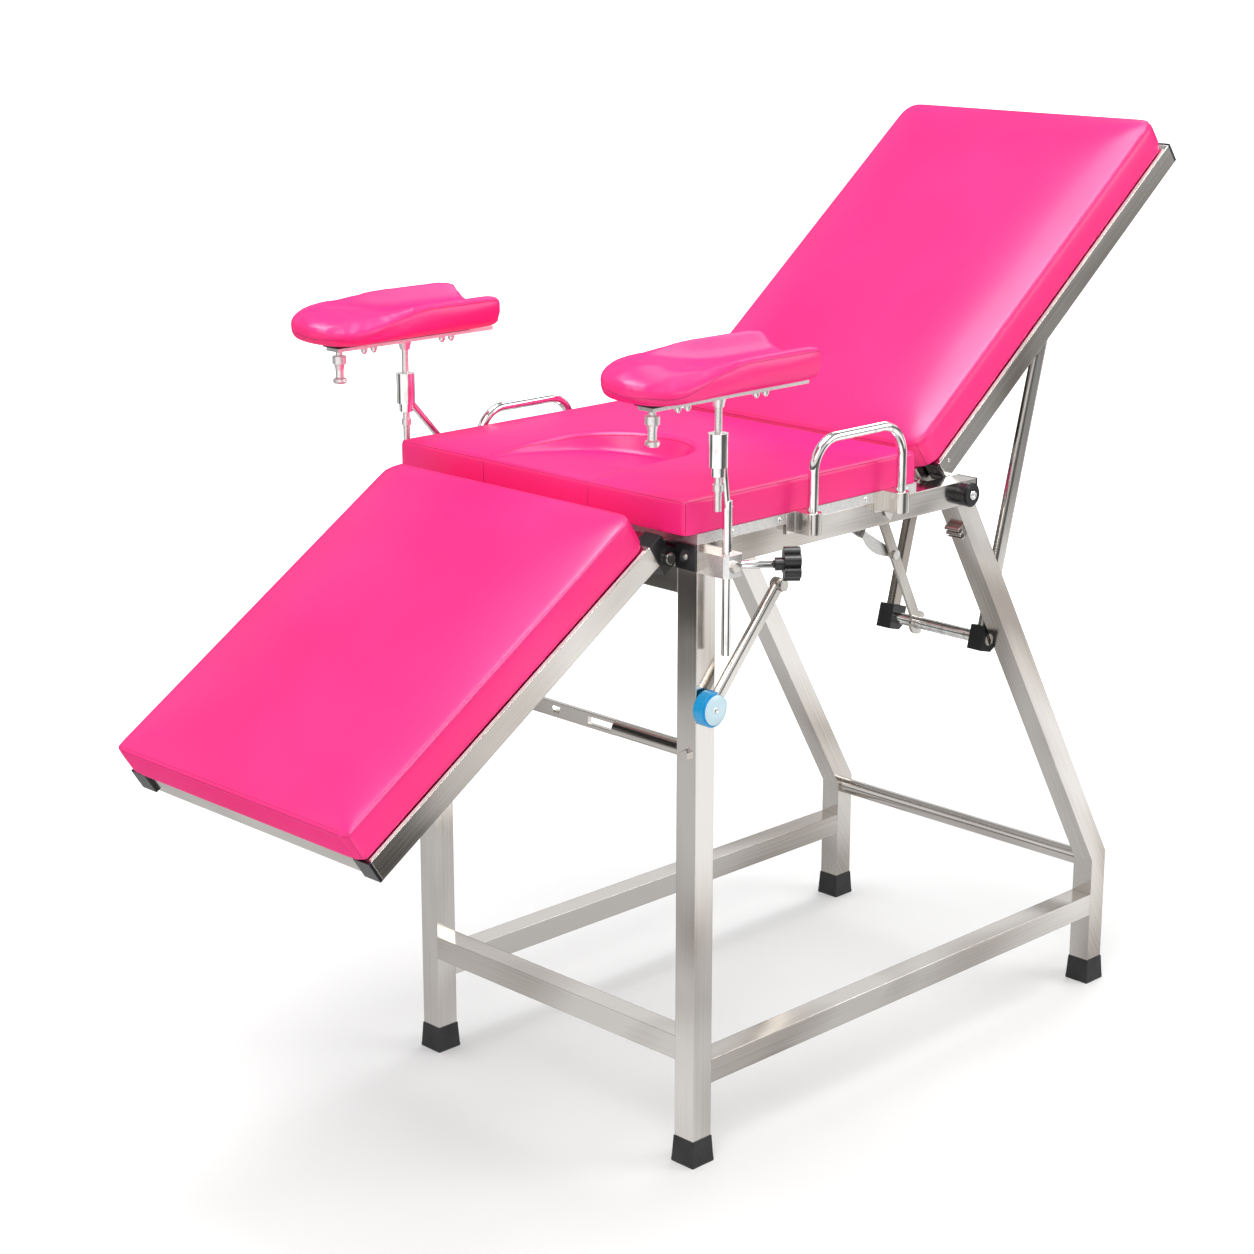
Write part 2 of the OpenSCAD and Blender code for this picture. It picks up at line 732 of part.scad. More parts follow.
// The blade's pin runs through the link, with a head on each side
module stay_blade() {
    belly_l = blade_l / 2;
    color(steel) stay_frame(stay_pin_low) {
        plate(stay_y, blade_t) {
            translate([-blade_l, -blade_h / 2]) square([blade_l, blade_h]);
            circle(d = blade_h);
            intersection() {
                translate([-belly_l, -blade_h / 2 - blade_belly]) square([belly_l, blade_belly]);
                translate([-belly_l / 2, belly_l - blade_h / 2 - blade_belly]) circle(r = belly_l);
            }
        }
        rod_y(stay_pin_d, 0, 0, link_y - link_t / 2 - gap, stay_y);
        rod_y(stay_head_d, 0, 0, link_y + link_t / 2 + gap, stay_y);
        rod_y(stay_head_d, 0, 0, link_y - link_t / 2 - gap - stay_head_t, link_y - link_t / 2 - gap);
    }
}

// Leg section

module foot_rail() color(steel) foot_frame() mirror([1, 0, 0]) inner_rail(foot_start, foot_l);

module foot_cross_bars() color(steel) foot_frame() mirror([1, 0, 0])
    for (x = [foot_start + inner_tube_h, foot_l - inner_tube_h])
        difference() {
            translate([x, -ear_y, inner_base]) cube([inner_tube_h, 2 * ear_y, inner_tube_h]);
            translate([x + tube_wall, -ear_y - over, inner_base + tube_wall])
                cube([inner_tube_h - 2 * tube_wall, 2 * (ear_y + over), inner_tube_h - 2 * tube_wall]);
        }

module foot_board() color(black) foot_frame() mirror([1, 0, 0])
    translate([foot_start, back_side_in + board_in - inner_w / 2, inner_base + inner_tube_h])
        cube([foot_l - foot_start - board_in, inner_w - 2 * (back_side_in + board_in), under_t]);

module foot_cushion() {
    l = foot_l - foot_cushion_start + 2 * seam_tuck;
    color(pink) foot_frame()
        translate([-foot_cushion_start - l / 2, 0, inner_base + inner_tube_h + under_t])
        pillow(l, inner_w - 2 * back_side_in + 2 * seam_tuck, foot_t, foot_corner_r);
}

// Rounded blocks that turn on the hinge bolts, and caps at the far end
module foot_end_caps() color(black) foot_frame() mirror([1, 0, 0]) both_sides() {
    difference() {
        plate(-inner_y, inner_tube_w) union() {
            circle(r = foot_round_r);
            translate([0, -foot_round_r]) square([foot_start, foot_round_r + inner_base]);
            translate([-foot_round_r / 2, 0]) square([foot_start + foot_round_r / 2,
                inner_base + inner_tube_h - over]);
        }
        rod_y(foot_bolt_d + 2 * fit, 0, 0, -half_w, 0);
    }
    translate([foot_l, -inner_w / 2, inner_base]) cube([cap_t, inner_tube_w, inner_tube_h]);
}

// Wire hook at the far lower corner
module foot_hook() {
    reach = 20;
    rise = 12;
    color(black) foot_frame() translate([-foot_l + rise, inner_w / 2, inner_base + inner_tube_h / 2]) {
        rotate([-90, 0, 0]) cylinder(d = hook_d, h = reach);
        translate([0, reach, 0]) sphere(d = hook_d);
        translate([0, reach, -rise]) cylinder(d = hook_d, h = rise);
    }
}

// Side arm

module arm_frame() put() translate([disc_x, 0, disc_z]) rotate([0, -arm_angle, 0]) children();

disc_y0 = half_w + backing_t + gap;

module ratchet_disc() color("deepskyblue") arm_frame() {
    grip = 3;
    difference() {
        union() {
            rod_y(disc_d, 0, 0, -disc_y0 - disc_t + grip, -disc_y0);
            rod_y(disc_d - 2 * grip, 0, 0, -disc_y0 - disc_t, -disc_y0);
            rotate([0, 90 + arm_angle, 0]) translate([-arm_t / 4, -disc_y0 - disc_t / 2, 0])
                cube([arm_t / 2, disc_t / 2, disc_d / 2 + 2 * grip]);
        }
        translate([disc_d / 2 - arm_socket, -disc_y0 - disc_t / 2, 0]) rotate([0, 90, 0])
            rotate(90) linear_extrude(disc_d) square([arm_t, arm_w], center = true);
        rod_y(bolt_head_d, 0, 0, -disc_y0 - disc_t - over, -disc_y0 - disc_t + grip);
    }
}

module side_arm_tube() {
    y = -disc_y0 - disc_t / 2;
    start = disc_d / 2 - arm_socket;
    color(steel) arm_frame() {
        difference() {
            translate([start, y, 0]) rotate([0, 90, 0]) linear_extrude(arm_l - start - arm_w / 2)
                intersection() {
                    oval(arm_w, arm_t);
                    square([arm_w, arm_t], center = true);
                }
            translate([start - over, y, 0]) rotate([0, 90, 0]) linear_extrude(arm_l - arm_w)
                oval(arm_w - 2 * tube_wall, arm_t - 2 * tube_wall);
        }
        rod_y(arm_w, arm_l - arm_w / 2, 0, y - arm_t / 2, y + arm_t / 2);
        rod_y(bolt_head_d - over, arm_l - arm_w / 2, 0, y - arm_t / 2 - bolt_head_t, y - arm_t / 2);
    }
}

// Leg holders

// Post, thin slanted neck and the sleeve in which the pad's rod turns
module holder_post(at_x, rise) {
    neck_x = swivel_x + swivel_d / 2 + neck_d / 2 + 2 * gap;
    neck_z = sleeve_low + neck_d;
    bend_z = sleeve_low - rise;
    neck_base = bend_z - neck_d;
    color(steel) put() translate([0, -holder_y, 0]) difference() {
        union() {
            translate([at_x, 0, post_low]) cylinder(d = post_d, h = bend_z - post_low);
            translate([at_x - over, 0, neck_base])
                rotate([0, atan2(neck_x + over - at_x, neck_z - neck_base), 0])
                cylinder(d = neck_d, h = norm([neck_x + over - at_x, neck_z - neck_base]));
            translate([swivel_x, 0, sleeve_low]) cylinder(d = sleeve_neck_d, h = sleeve_top - sleeve_low);
            translate([swivel_x, 0, sleeve_step]) cylinder(d = sleeve_d, h = sleeve_top - sleeve_step);
        }
        translate([swivel_x, 0, sleeve_low - over])
            cylinder(d = swivel_d + 2 * fit, h = sleeve_top - sleeve_low + 2 * over);
    }
}

// Flat bar under the pad, with the swivel rod, its collar, clip ring and bolts
module pad_bar() {
    bolt_h = 4;
    bolt_w = 9;
    bolt_gap = 16;
    color(steel) put() translate([0, -holder_y, 0]) {
        translate([bar_front, -bar_w / 2, bar_z]) cube([bar_back - bar_front, bar_w, bar_t]);
        rod_z(swivel_d, swivel_x, 0, swivel_low, bar_z);
        translate([swivel_x, 0, bar_z - collar_h])
            cylinder(d1 = collar_d - bar_t, d2 = collar_d, h = collar_h);
        rod_z(clip_d, swivel_x, 0, clip_z, clip_z + clip_h);
        for (x = [(bar_front + swivel_x) / 2, (bar_back + swivel_x) / 2]) for (side = [-1, 1])
            rod_z(bolt_w, x + side * bolt_gap / 2, 0, bar_z - bolt_h, bar_z);
    }
}

// Trough for the calf: round nose toward the foot end, two lips along the sides,
// of which the one on the far side is the higher
module gutter_pad(at_y) {
    nose_share = 0.26;
    tip_share = 0.3;
    flat_share = 0.12;
    trough_share = 0.5;
    end_share = 0.96;
    lip_share = 0.28;
    across_shares = [-0.26, 0.26, 0.41, 0.5, 0.5, 0.46, 0.39, 0.32, 0.24, 0.12, 0,
        -0.12, -0.24, -0.32, -0.39, -0.46, -0.5, -0.5, -0.41];
    trough_shares = [0, 0, 0.13, 0.42, 0.7, 0.92, 1, 0.9, 0.66, 0.46, 0.42,
        0.46, 0.66, 0.9, 1, 0.92, 0.7, 0.42, 0.13];
    full_shares = [0, 0, 0.13, 0.38, 0.54, 0.72, 0.84, 0.92, 0.98, 1.02, 1.04,
        1.02, 0.98, 0.92, 0.84, 0.72, 0.54, 0.38, 0.13];
    along_shares = [0, 0.008, 0.03, 0.07, 0.12, 0.18, 0.26, 0.38, 0.5, 0.65, 0.8, 0.92, 0.98, 1];
    count = len(across_shares);
    function wide(s) = s < nose_share
        ? tip_share + (1 - tip_share) * sqrt(1 - pow(1 - s / nose_share, 2))
        : s > end_share ? 1 - (s - end_share) : 1;
    function hollow(s) = min(1, max(0, (s - flat_share) / (trough_share - flat_share)));
    stations = [for (s = along_shares)
        [for (i = [0 : count - 1])
            let (h = hollow(s) * trough_shares[i] + (1 - hollow(s)) * full_shares[i])
            [pad_front + pad_l * s, pad_w * across_shares[i] * wide(s),
                bar_z + bar_t + gap
                    + pad_h * h * (1 + wide(s)) / 2 * (1 + lip_share * across_shares[i])]]];
    last = len(stations) - 1;
    points = [for (ring = stations) each ring];
    faces = concat(
        [[for (i = [0 : count - 1]) i]],
        [for (k = [0 : last - 1]) for (i = [0 : count - 1])
            let (j = (i + 1) % count)
            each [[k * count + i, (k + 1) * count + i, (k + 1) * count + j],
                [k * count + i, (k + 1) * count + j, k * count + j]]],
        [[for (i = [count - 1 : -1 : 0]) last * count + i]]);
    color(pink) put() translate([0, at_y, 0]) polyhedron(points, faces);
}

// Turned knob under the front end of the bar: foot, waist, knurled ring and stem
module spindle() {
    z_shares = [0, 0.06, 0.14, 0.19, 0.42, 0.58, 0.61, 0.84, 0.87, 1];
    r_shares = [0.86, 1, 0.94, 0.58, 0.6, 0.76, 1, 1, 0.48, 0.48];
    r = 9;
    low = bar_z - spindle_l;
    color("gray") put() translate([spindle_x, -holder_y, low]) rotate_extrude()
        polygon(concat([[0, 0]],
            [for (i = [0 : len(z_shares) - 1]) [r * r_shares[i], (spindle_l - fit) * z_shares[i]]],
            [[0, spindle_l - fit]]));
}

// Lobed knob on its screw, turned outward from the clamp
module star_knob(at_x) {
    lobe_r = star_d / 6;
    core_r = star_d / 2 - lobe_r;
    boss = 10;
    start = post_d / 2 + gap;
    color(black) put() translate([at_x, -holder_y, clamp_z + clamp_h / 2]) rotate([0, 90, -knob_turn]) {
        translate([0, 0, knob_reach - star_t / 2]) linear_extrude(star_t) {
            circle(r = core_r);
            for (i = [0 : star_lobes - 1]) rotate(360 / star_lobes * i)
                translate([star_d / 2 - lobe_r, 0]) circle(r = lobe_r);
        }
        translate([0, 0, start]) cylinder(d = star_rod_d, h = knob_reach - start);
        translate([0, 0, knob_reach - star_t / 2 - boss]) cylinder(d = 2 * star_rod_d, h = boss + over);
    }
}

// Handrail: two posts joined by a round bend
module handrail(at_x, drop) {
    top = rail_top_z - rail_d / 2;
    color(steel) put() translate([at_x, -holder_y, -drop]) {
        for (x = [0, rail_span])
            translate([x, 0, socket_z]) cylinder(d = rail_d, h = top - rail_bend_r - socket_z);
        translate([rail_bend_r, 0, top]) rotate([0, 90, 0])
            cylinder(d = rail_d, h = rail_span - 2 * rail_bend_r);
        for (x = [0, 1]) translate([x * rail_span, 0, 0]) mirror([x, 0, 0])
            translate([rail_bend_r, 0, top - rail_bend_r]) rotate([90, 0, 0])
            rotate([0, 0, 90]) rotate_extrude(angle = 90) translate([rail_bend_r, 0]) circle(d = rail_d);
    }
}

module far() mirror([0, 1, 0]) children();

front_leg();  // front_leg_near
far() front_leg();  // front_leg_far
rear_leg();  // rear_leg_near
far() rear_leg();  // rear_leg_far
side_rail();  // side_rail_near
far() side_rail();  // side_rail_far
front_low_rail();
front_top_bar();
slotted_cross_bar();
rear_cross_tube();
rubber_feet();
seat_rail();  // seat_rail_near
far() seat_rail();  // seat_rail_far
seat_front_bar();
seat_rear_bar();
seat_board();
seat_edge_strip();
seat_cushion();
rail_end_caps();
hinge_shaft();
hub_caps();
handrail_sockets();
post_clamp(post_x);  // post_clamp_near
far() post_clamp(far_post_x);  // post_clamp_far
spring_clip();
arm_backing_disc();
frame_bolts();
back_rail();  // back_rail_near
far() back_rail();  // back_rail_far
back_cross_bars();
back_board();
back_cushion();
back_end_caps();
prop_tubes();
prop_blocks();
prop_rod();
stay_link();
stay_channel();
stay_blade();
foot_rail();  // foot_rail_near
far() foot_rail();  // foot_rail_far
foot_cross_bars();
foot_board();
foot_cushion();
foot_end_caps();
foot_hook();
ratchet_disc();
side_arm_tube();
holder_post(post_x, neck_rise);  // holder_post_near
far() holder_post(far_post_x, far_neck_rise);  // holder_post_far
pad_bar();  // pad_bar_near
far() pad_bar();  // pad_bar_far
gutter_pad(-holder_y);  // gutter_pad_near
gutter_pad(holder_y);  // gutter_pad_far
spindle();  // spindle_near
far() spindle();  // spindle_far
star_knob(post_x);  // star_knob_near
far() star_knob(far_post_x);  // star_knob_far
handrail(rail_x, 0);  // handrail_near
far() handrail(far_rail_x, far_rail_drop);  // handrail_far
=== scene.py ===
# %% [markdown]
# # Dressing a gynaecological examination table
# The CAD model gives every tube, bolt and hinge its place. This lesson gives
# the table its looks: stainless steel, black plastic, a blue disc, and above
# all the pink vinyl cushions, which are new meshes. All places are in metres
# and in the frame of the CAD model, whose origin is on the floor.

# %% Load the frame
import bmesh
import bpy
import math
from mathutils import Matrix, Vector


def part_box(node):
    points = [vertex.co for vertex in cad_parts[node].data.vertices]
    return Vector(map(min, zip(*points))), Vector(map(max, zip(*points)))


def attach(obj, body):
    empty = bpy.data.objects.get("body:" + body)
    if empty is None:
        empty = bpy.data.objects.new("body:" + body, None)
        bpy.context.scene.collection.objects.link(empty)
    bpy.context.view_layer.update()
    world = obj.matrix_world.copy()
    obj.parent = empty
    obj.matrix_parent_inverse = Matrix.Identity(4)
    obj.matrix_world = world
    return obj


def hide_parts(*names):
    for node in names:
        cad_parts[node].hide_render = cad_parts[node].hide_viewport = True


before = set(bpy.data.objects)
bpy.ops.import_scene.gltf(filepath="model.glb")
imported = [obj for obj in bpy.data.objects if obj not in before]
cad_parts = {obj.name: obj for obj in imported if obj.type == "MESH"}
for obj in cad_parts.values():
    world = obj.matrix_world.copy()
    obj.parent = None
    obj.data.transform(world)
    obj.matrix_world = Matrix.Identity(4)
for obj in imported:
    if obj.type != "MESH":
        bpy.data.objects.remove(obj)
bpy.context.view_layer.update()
scene = bpy.context.scene
MM = 0.001
# Angles of the photographed pose, in radians, and the middle of the wheel base,
# measured from the front of the front legs.
BACK_LEAN, FOOT_DROP = math.radians(38), math.radians(33)
MID_X = 250.9351 * MM

# %% [markdown]
# ## Colours and nodes
# Colours are written as sRGB hex values, the way a colour picker shows them.
# Blender's shaders count in linear light, so one function turns them over.
# A second function adds a shader node with its settings and links, and every
# material below is a short chain of such calls.

# %% Helpers for materials
def linear(hex_colour):
    """sRGB hex to a linear RGBA colour."""
    parts = [int(hex_colour[i:i + 2], 16) / 255 for i in (1, 3, 5)]
    return [c / 12.92 if c <= 0.04045 else ((c + 0.055) / 1.055) ** 2.4 for c in parts] + [1.0]


def add(mat, kind, sockets=None, **settings):
    """Adds a node. A socket's value is a number, a colour or another node's output."""
    node = mat.node_tree.nodes.new("ShaderNode" + kind)
    for name, value in settings.items():
        setattr(node, name, value)
    for name, value in (sockets or {}).items():
        if isinstance(value, bpy.types.NodeSocket):
            mat.node_tree.links.new(value, node.inputs[name])
        else:
            node.inputs[name].default_value = value
    return node


def number(mat, operation, *values):
    """A sum, product or the like of numbers and outputs."""
    return add(mat, "Math", dict(enumerate(values)), operation=operation).outputs[0]


def new_material(name):
    """An empty material with its surface shader linked to the output."""
    mat = bpy.data.materials.new(name)
    mat.use_nodes = True
    mat.node_tree.nodes.clear()
    surface = add(mat, "BsdfPrincipled")
    add(mat, "OutputMaterial", {"Surface": surface.outputs[0]})
    return mat, surface


def ramp(mat, factor, *stops):
    """A colour ramp whose stops are (place, hex colour)."""
    node = add(mat, "ValToRGB", {"Fac": factor})
    while len(node.color_ramp.elements) < len(stops):
        node.color_ramp.elements.new(0.5)
    for element, (place, colour) in zip(node.color_ramp.elements, stops):
        element.position = place
        element.color = linear(colour)
    return node.outputs["Color"]


def spread(mat, factor, low, high):
    """Turns a pattern from 0 to 1 into numbers from low to high."""
    node = add(mat, "MapRange", {"Value": factor, "To Min": low, "To Max": high})
    return node.outputs["Result"]

# %% [markdown]
# ## Stainless steel tube
# The frame is AISI 304 tube, polished along its length. Its base colour is a
# warm grey that drifts between light and dark over a hand's width: a painted
# reflection, the light and dark surroundings that a polished tube mirrors, laid
# into the colour. Fine lines run along the tube, and its edges are sharp and
# bright. The lines come from a noise that is stretched along the tube, so that
# each direction of tube has its own copy of the material. The lines are 0.2 mm
# wide in life and are drawn at 1.6 mm, because finer ones would not show. The
# walls of a thin tube are a little wavy, which makes the reflections wander.

# %% Steel
STEEL_LIGHT, STEEL_ROUGH = "#DEDAD5", (0.10, 0.22)
REFLECTION_DRIFT, LINE_WIDTH, WAVE = 170 * MM, 1.6 * MM, 70 * MM


def steel(name, turn=(0, 0, 0), dark="#A49C94", middle="#C6C0B9"):
    """Polished steel with painted reflection streaks in its colour; its brush lines run along the
    turned X axis.
    """
    mat, surface = new_material(name)
    place = add(mat, "TexCoord").outputs["Object"]
    along = add(mat, "Mapping", {"Vector": place, "Rotation": turn}).outputs["Vector"]
    slow = add(mat, "Mapping", {"Vector": along, "Scale": (0.5, 1, 1)}).outputs["Vector"]
    # The slow drift is a painted reflection: light and dark streaks of the mirrored surroundings,
    # laid into the base colour.
    drift = add(mat, "TexNoise", {"Vector": slow, "Scale": 1 / REFLECTION_DRIFT, "Detail": 1.0,
                                  "Distortion": 0.8}).outputs["Fac"]
    lines = add(mat, "Mapping", {"Vector": along, "Scale": (0.008, 1, 1)}).outputs["Vector"]
    brush = add(mat, "TexNoise", {"Vector": lines, "Scale": 1 / LINE_WIDTH,
                                  "Detail": 2.0}).outputs["Fac"]
    painted_reflection_and_brush = number(mat, "ADD", drift, number(mat, "MULTIPLY", brush, 0.16))
    surface.inputs["Metallic"].default_value = 1.0
    # Base colour from the painted reflection drift and the brush lines, dark to light.
    colour = ramp(mat, painted_reflection_and_brush, (0.36, dark), (0.52, middle), (0.72, STEEL_LIGHT))
    mat.node_tree.links.new(colour, surface.inputs["Base Color"])
    mat.node_tree.links.new(spread(mat, brush, *STEEL_ROUGH), surface.inputs["Roughness"])
    edge = add(mat, "Bevel", {"Radius": 1.6 * MM}, samples=4)
    wall = add(mat, "TexNoise", {"Vector": slow, "Scale": 1 / WAVE, "Detail": 1.0}).outputs["Fac"]
    waves = add(mat, "Bump", {"Height": wall, "Strength": 0.8, "Distance": 2.0 * MM,
                              "Normal": edge.outputs["Normal"]})
    bump = add(mat, "Bump", {"Height": brush, "Strength": 0.05, "Distance": 0.2 * MM,
                             "Normal": waves.outputs["Normal"]})
    mat.node_tree.links.new(bump.outputs["Normal"], surface.inputs["Normal"])
    return mat


quarter = math.pi / 2
steel_x = steel("stainless_tube_along_x")
steel_y = steel("stainless_tube_along_y", turn=(0, 0, quarter))
steel_z = steel("stainless_tube_upright", turn=(0, quarter, 0))
steel_leg = steel("stainless_tube_leaning", turn=(0, math.radians(-59.5), 0))
steel_back = steel("stainless_tube_backrest", turn=(0, BACK_LEAN, 0))
# The leg section's lighter dark stop and the prop's darker middle stop make lighter and darker
# copies of the painted reflection.
steel_foot = steel("stainless_tube_leg_section", turn=(0, FOOT_DROP, 0), dark="#B4AEA7")
steel_prop = steel("stainless_tube_prop", turn=(0, math.radians(80), 0), middle="#BDBAB4")
print("steel in 7 directions")

# %% [markdown]
# ## Chrome, zinc and aluminium
# The handrails and the holder posts are chromed rod: almost a mirror, a little
# uneven along the rod. Small screws, the stay channel and the wire hook are
# duller zinc plate, whose colour is uneven in patches of a few millimetres.
# The trim, the pad bars and the clamps are pale satin aluminium.

# %% Chrome, zinc and aluminium
def plated(name, stops, rough, grain_mm, stretch, bump=0.03):
    """Plated metal: a stretched noise gives its streaks, its roughness and its bump."""
    mat, surface = new_material(name)
    place = add(mat, "TexCoord").outputs["Object"]
    streaks = add(mat, "Mapping", {"Vector": place, "Scale": stretch}).outputs["Vector"]
    grain = add(mat, "TexNoise", {"Vector": streaks, "Scale": 1 / (grain_mm * MM), "Detail": 3.0,
                                  "Distortion": 0.4}).outputs["Fac"]
    surface.inputs["Metallic"].default_value = 1.0
    mat.node_tree.links.new(ramp(mat, grain, *stops), surface.inputs["Base Color"])
    mat.node_tree.links.new(spread(mat, grain, *rough), surface.inputs["Roughness"])
    relief = add(mat, "Bump", {"Height": grain, "Strength": bump, "Distance": 0.3 * MM})
    mat.node_tree.links.new(relief.outputs["Normal"], surface.inputs["Normal"])
    return mat


chrome = plated("polished_chrome", ((0.3, "#CFCDCA"), (0.5, "#EDECEA"), (0.75, "#FAFAF9")),
                (0.03, 0.08), 8, (1, 1, 0.3), bump=0.01)
zinc = plated("bright_zinc_plate", ((0.3, "#8D8A86"), (0.7, "#CFCDC9")),
              (0.25, 0.42), 4, (1, 1, 1))
zinc_dark = plated("dark_zinc_plate", ((0.3, "#4E4B48"), (0.7, "#8F8C87")),
                   (0.3, 0.5), 6, (1, 1, 1))
# Aluminium is whiter than steel and has no strong streaks. The screws and nuts
# are smoother than the bars and strips.
aluminium = plated("anodised_aluminium", ((0.3, "#E4E3E1"), (0.7, "#F8F7F5")),
                   (0.22, 0.34), 3, (0.1, 0.1, 1))
satin_white = plated("satin_aluminium", ((0.3, "#E2E1DF"), (0.7, "#F7F6F4")),
                     (0.35, 0.45), 3, (1, 1, 1))
print("plated metals ready")

# %% [markdown]
# ## Plastics, rubber and boards
# The caps, the prop blocks and the star knob are moulded black polyamide with
# a fine matt grain. The feet are rubber, softer and greyer. The disc is blue
# ABS, smoother and shinier, and its flat face is paler. Under the cushions lie
# melamine boards.

# %% Plastics, rubber and boards
WEAR, MOULDED_EDGE = 35 * MM, 1.2 * MM


def moulded(name, dark, light, rough, grain_mm, bump, coat=0.0):
    """Moulded surface: grain in the colour, the roughness and the bump."""
    mat, surface = new_material(name)
    place = add(mat, "TexCoord").outputs["Object"]
    grain = add(mat, "TexNoise", {"Vector": place, "Scale": 1 / (grain_mm * MM),
                                  "Detail": 4.0}).outputs["Fac"]
    wear = add(mat, "TexNoise", {"Vector": place, "Scale": 1 / WEAR, "Detail": 2.0}).outputs["Fac"]
    colour = ramp(mat, wear, (0.3, dark), (0.7, light))
    mat.node_tree.links.new(colour, surface.inputs["Base Color"])
    mat.node_tree.links.new(spread(mat, grain, *rough), surface.inputs["Roughness"])
    surface.inputs["Coat Weight"].default_value = coat
    surface.inputs["Coat Roughness"].default_value = 0.15
    edge = add(mat, "Bevel", {"Radius": MOULDED_EDGE}, samples=4)
    relief = add(mat, "Bump", {"Height": grain, "Strength": bump, "Distance": 0.3 * MM,
                               "Normal": edge.outputs["Normal"]})
    mat.node_tree.links.new(relief.outputs["Normal"], surface.inputs["Normal"])
    return mat


black_plastic = moulded("black_polyamide", "#151517", "#222225", (0.16, 0.3), 1.2, 0.1)
rubber = moulded("black_rubber", "#141416", "#2B2B2D", (0.45, 0.62), 2.0, 0.25)
blue_plastic = moulded("blue_abs", "#1597D6", "#2FAEE6", (0.18, 0.3), 1.5, 0.08, coat=0.3)
blue_face = moulded("pale_blue_abs", "#BFDBE6", "#CDE3EB", (0.2, 0.3), 1.5, 0.06, coat=0.3)
black_board = moulded("black_melamine_board", "#1B1A1B", "#2A2829", (0.5, 0.65), 1.5, 0.1)
white_board = moulded("white_melamine_board", "#CFCDC9", "#E4E2DE", (0.4, 0.5), 1.5, 0.08)
print("plastics ready")

# %% [markdown]
# ## Pink vinyl
# The cushions are covered in polyurethane leather: glossy and a saturated
# pink. The grain is pebbled, with pebbles of about 1 mm, drawn at 1.6 mm. A
# Voronoi pattern gives the pebbles, and two large soft noises give the slow
# drift of colour and the faint waves that a stretched cover has. The cover
# shines less at a grazing view than a plain plastic would.

# %% Vinyl
PEBBLE, TINT, STRETCH = 1.6 * MM, 160 * MM, 70 * MM


def vinyl(name, deep, middle, bright, rough=(0.27, 0.38)):
    """Pebbled vinyl with a drifting colour, soft waves and a gloss that fades at the rim."""
    mat, surface = new_material(name)
    place = add(mat, "TexCoord").outputs["Object"]
    pebble = add(mat, "TexVoronoi", {"Vector": place, "Scale": 1 / PEBBLE}).outputs["Distance"]
    drift = add(mat, "TexNoise", {"Vector": place, "Scale": 1 / TINT, "Detail": 2.0}).outputs["Fac"]
    wave = add(mat, "TexNoise", {"Vector": place, "Scale": 1 / STRETCH,
                                 "Detail": 1.0}).outputs["Fac"]
    colour = ramp(mat, drift, (0.3, deep), (0.5, middle), (0.72, bright))
    mat.node_tree.links.new(colour, surface.inputs["Base Color"])
    mat.node_tree.links.new(spread(mat, pebble, *rough), surface.inputs["Roughness"])
    waves = add(mat, "Bump", {"Height": wave, "Strength": 0.25, "Distance": 1.2 * MM})
    grain = add(mat, "Bump", {"Height": pebble, "Strength": 0.12, "Distance": 0.15 * MM,
                              "Normal": waves.outputs["Normal"]})
    mat.node_tree.links.new(grain.outputs["Normal"], surface.inputs["Normal"])
    facing = add(mat, "LayerWeight", {"Blend": 0.5}).outputs["Facing"]
    gloss = add(mat, "MapRange", {"Value": facing, "From Min": 0.3, "From Max": 0.68,
                                  "To Min": 0.42, "To Max": 0.02})
    mat.node_tree.links.new(gloss.outputs["Result"], surface.inputs["Specular IOR Level"])
    return mat


pink = vinyl("pink_vinyl_leather", "#F4297D", "#F72C81", "#FA3086")
# The seam pink is darker: painted shade for the shadow in each seam's crease.
seam_pink_painted_shade = vinyl("pink_vinyl_seam_painted_shade", "#C21E66", "#CB246E", "#D42A76", (0.4, 0.5))
print("vinyl ready")

# %% [markdown]
# ## Dressing the CAD nodes
# A CAD node keeps its shape and only changes its material, so a table of names
# is enough. Each list names the nodes that one finish covers.

# %% Materials on the CAD nodes
FINISHES = [
    (steel_z, ["front_leg_near", "front_leg_far"]),
    (steel_leg, ["rear_leg_near", "rear_leg_far"]),
    (steel_x, ["side_rail_near", "side_rail_far", "seat_rail_near", "seat_rail_far"]),
    (steel_y, ["front_low_rail", "front_top_bar", "seat_front_bar", "seat_rear_bar",
               "slotted_cross_bar", "rear_cross_tube", "foot_cross_bars", "back_cross_bars"]),
    (steel_back, ["back_rail_near", "back_rail_far"]),
    (steel_foot, ["foot_rail_near", "foot_rail_far"]),
    (steel_prop, ["prop_tubes", "stay_link", "side_arm_tube"]),
    (chrome, ["holder_post_near", "holder_post_far", "handrail_near", "handrail_far",
              "prop_rod", "hinge_shaft"]),
    (steel_z, ["handrail_sockets", "frame_bolts", "spring_clip"]),
    (satin_white, ["seat_edge_strip", "pad_bar_near", "pad_bar_far", "post_clamp_near",
                   "post_clamp_far", "stay_blade", "spindle_near", "spindle_far"]),
    (zinc_dark, ["stay_channel", "foot_hook"]),
    (black_plastic, ["rail_end_caps", "hub_caps", "arm_backing_disc", "back_end_caps",
                     "prop_blocks", "foot_end_caps", "star_knob_near", "star_knob_far"]),
    (rubber, ["rubber_feet"]),
    (blue_plastic, ["ratchet_disc"]),
    (black_board, ["back_board", "foot_board"]),
    (white_board, ["seat_board"]),
]
for finish, names in FINISHES:
    for name in names:
        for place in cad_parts[name].material_slots:
            place.material = finish
print("dressed", sum(len(names) for _, names in FINISHES), "of", len(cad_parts), "nodes")
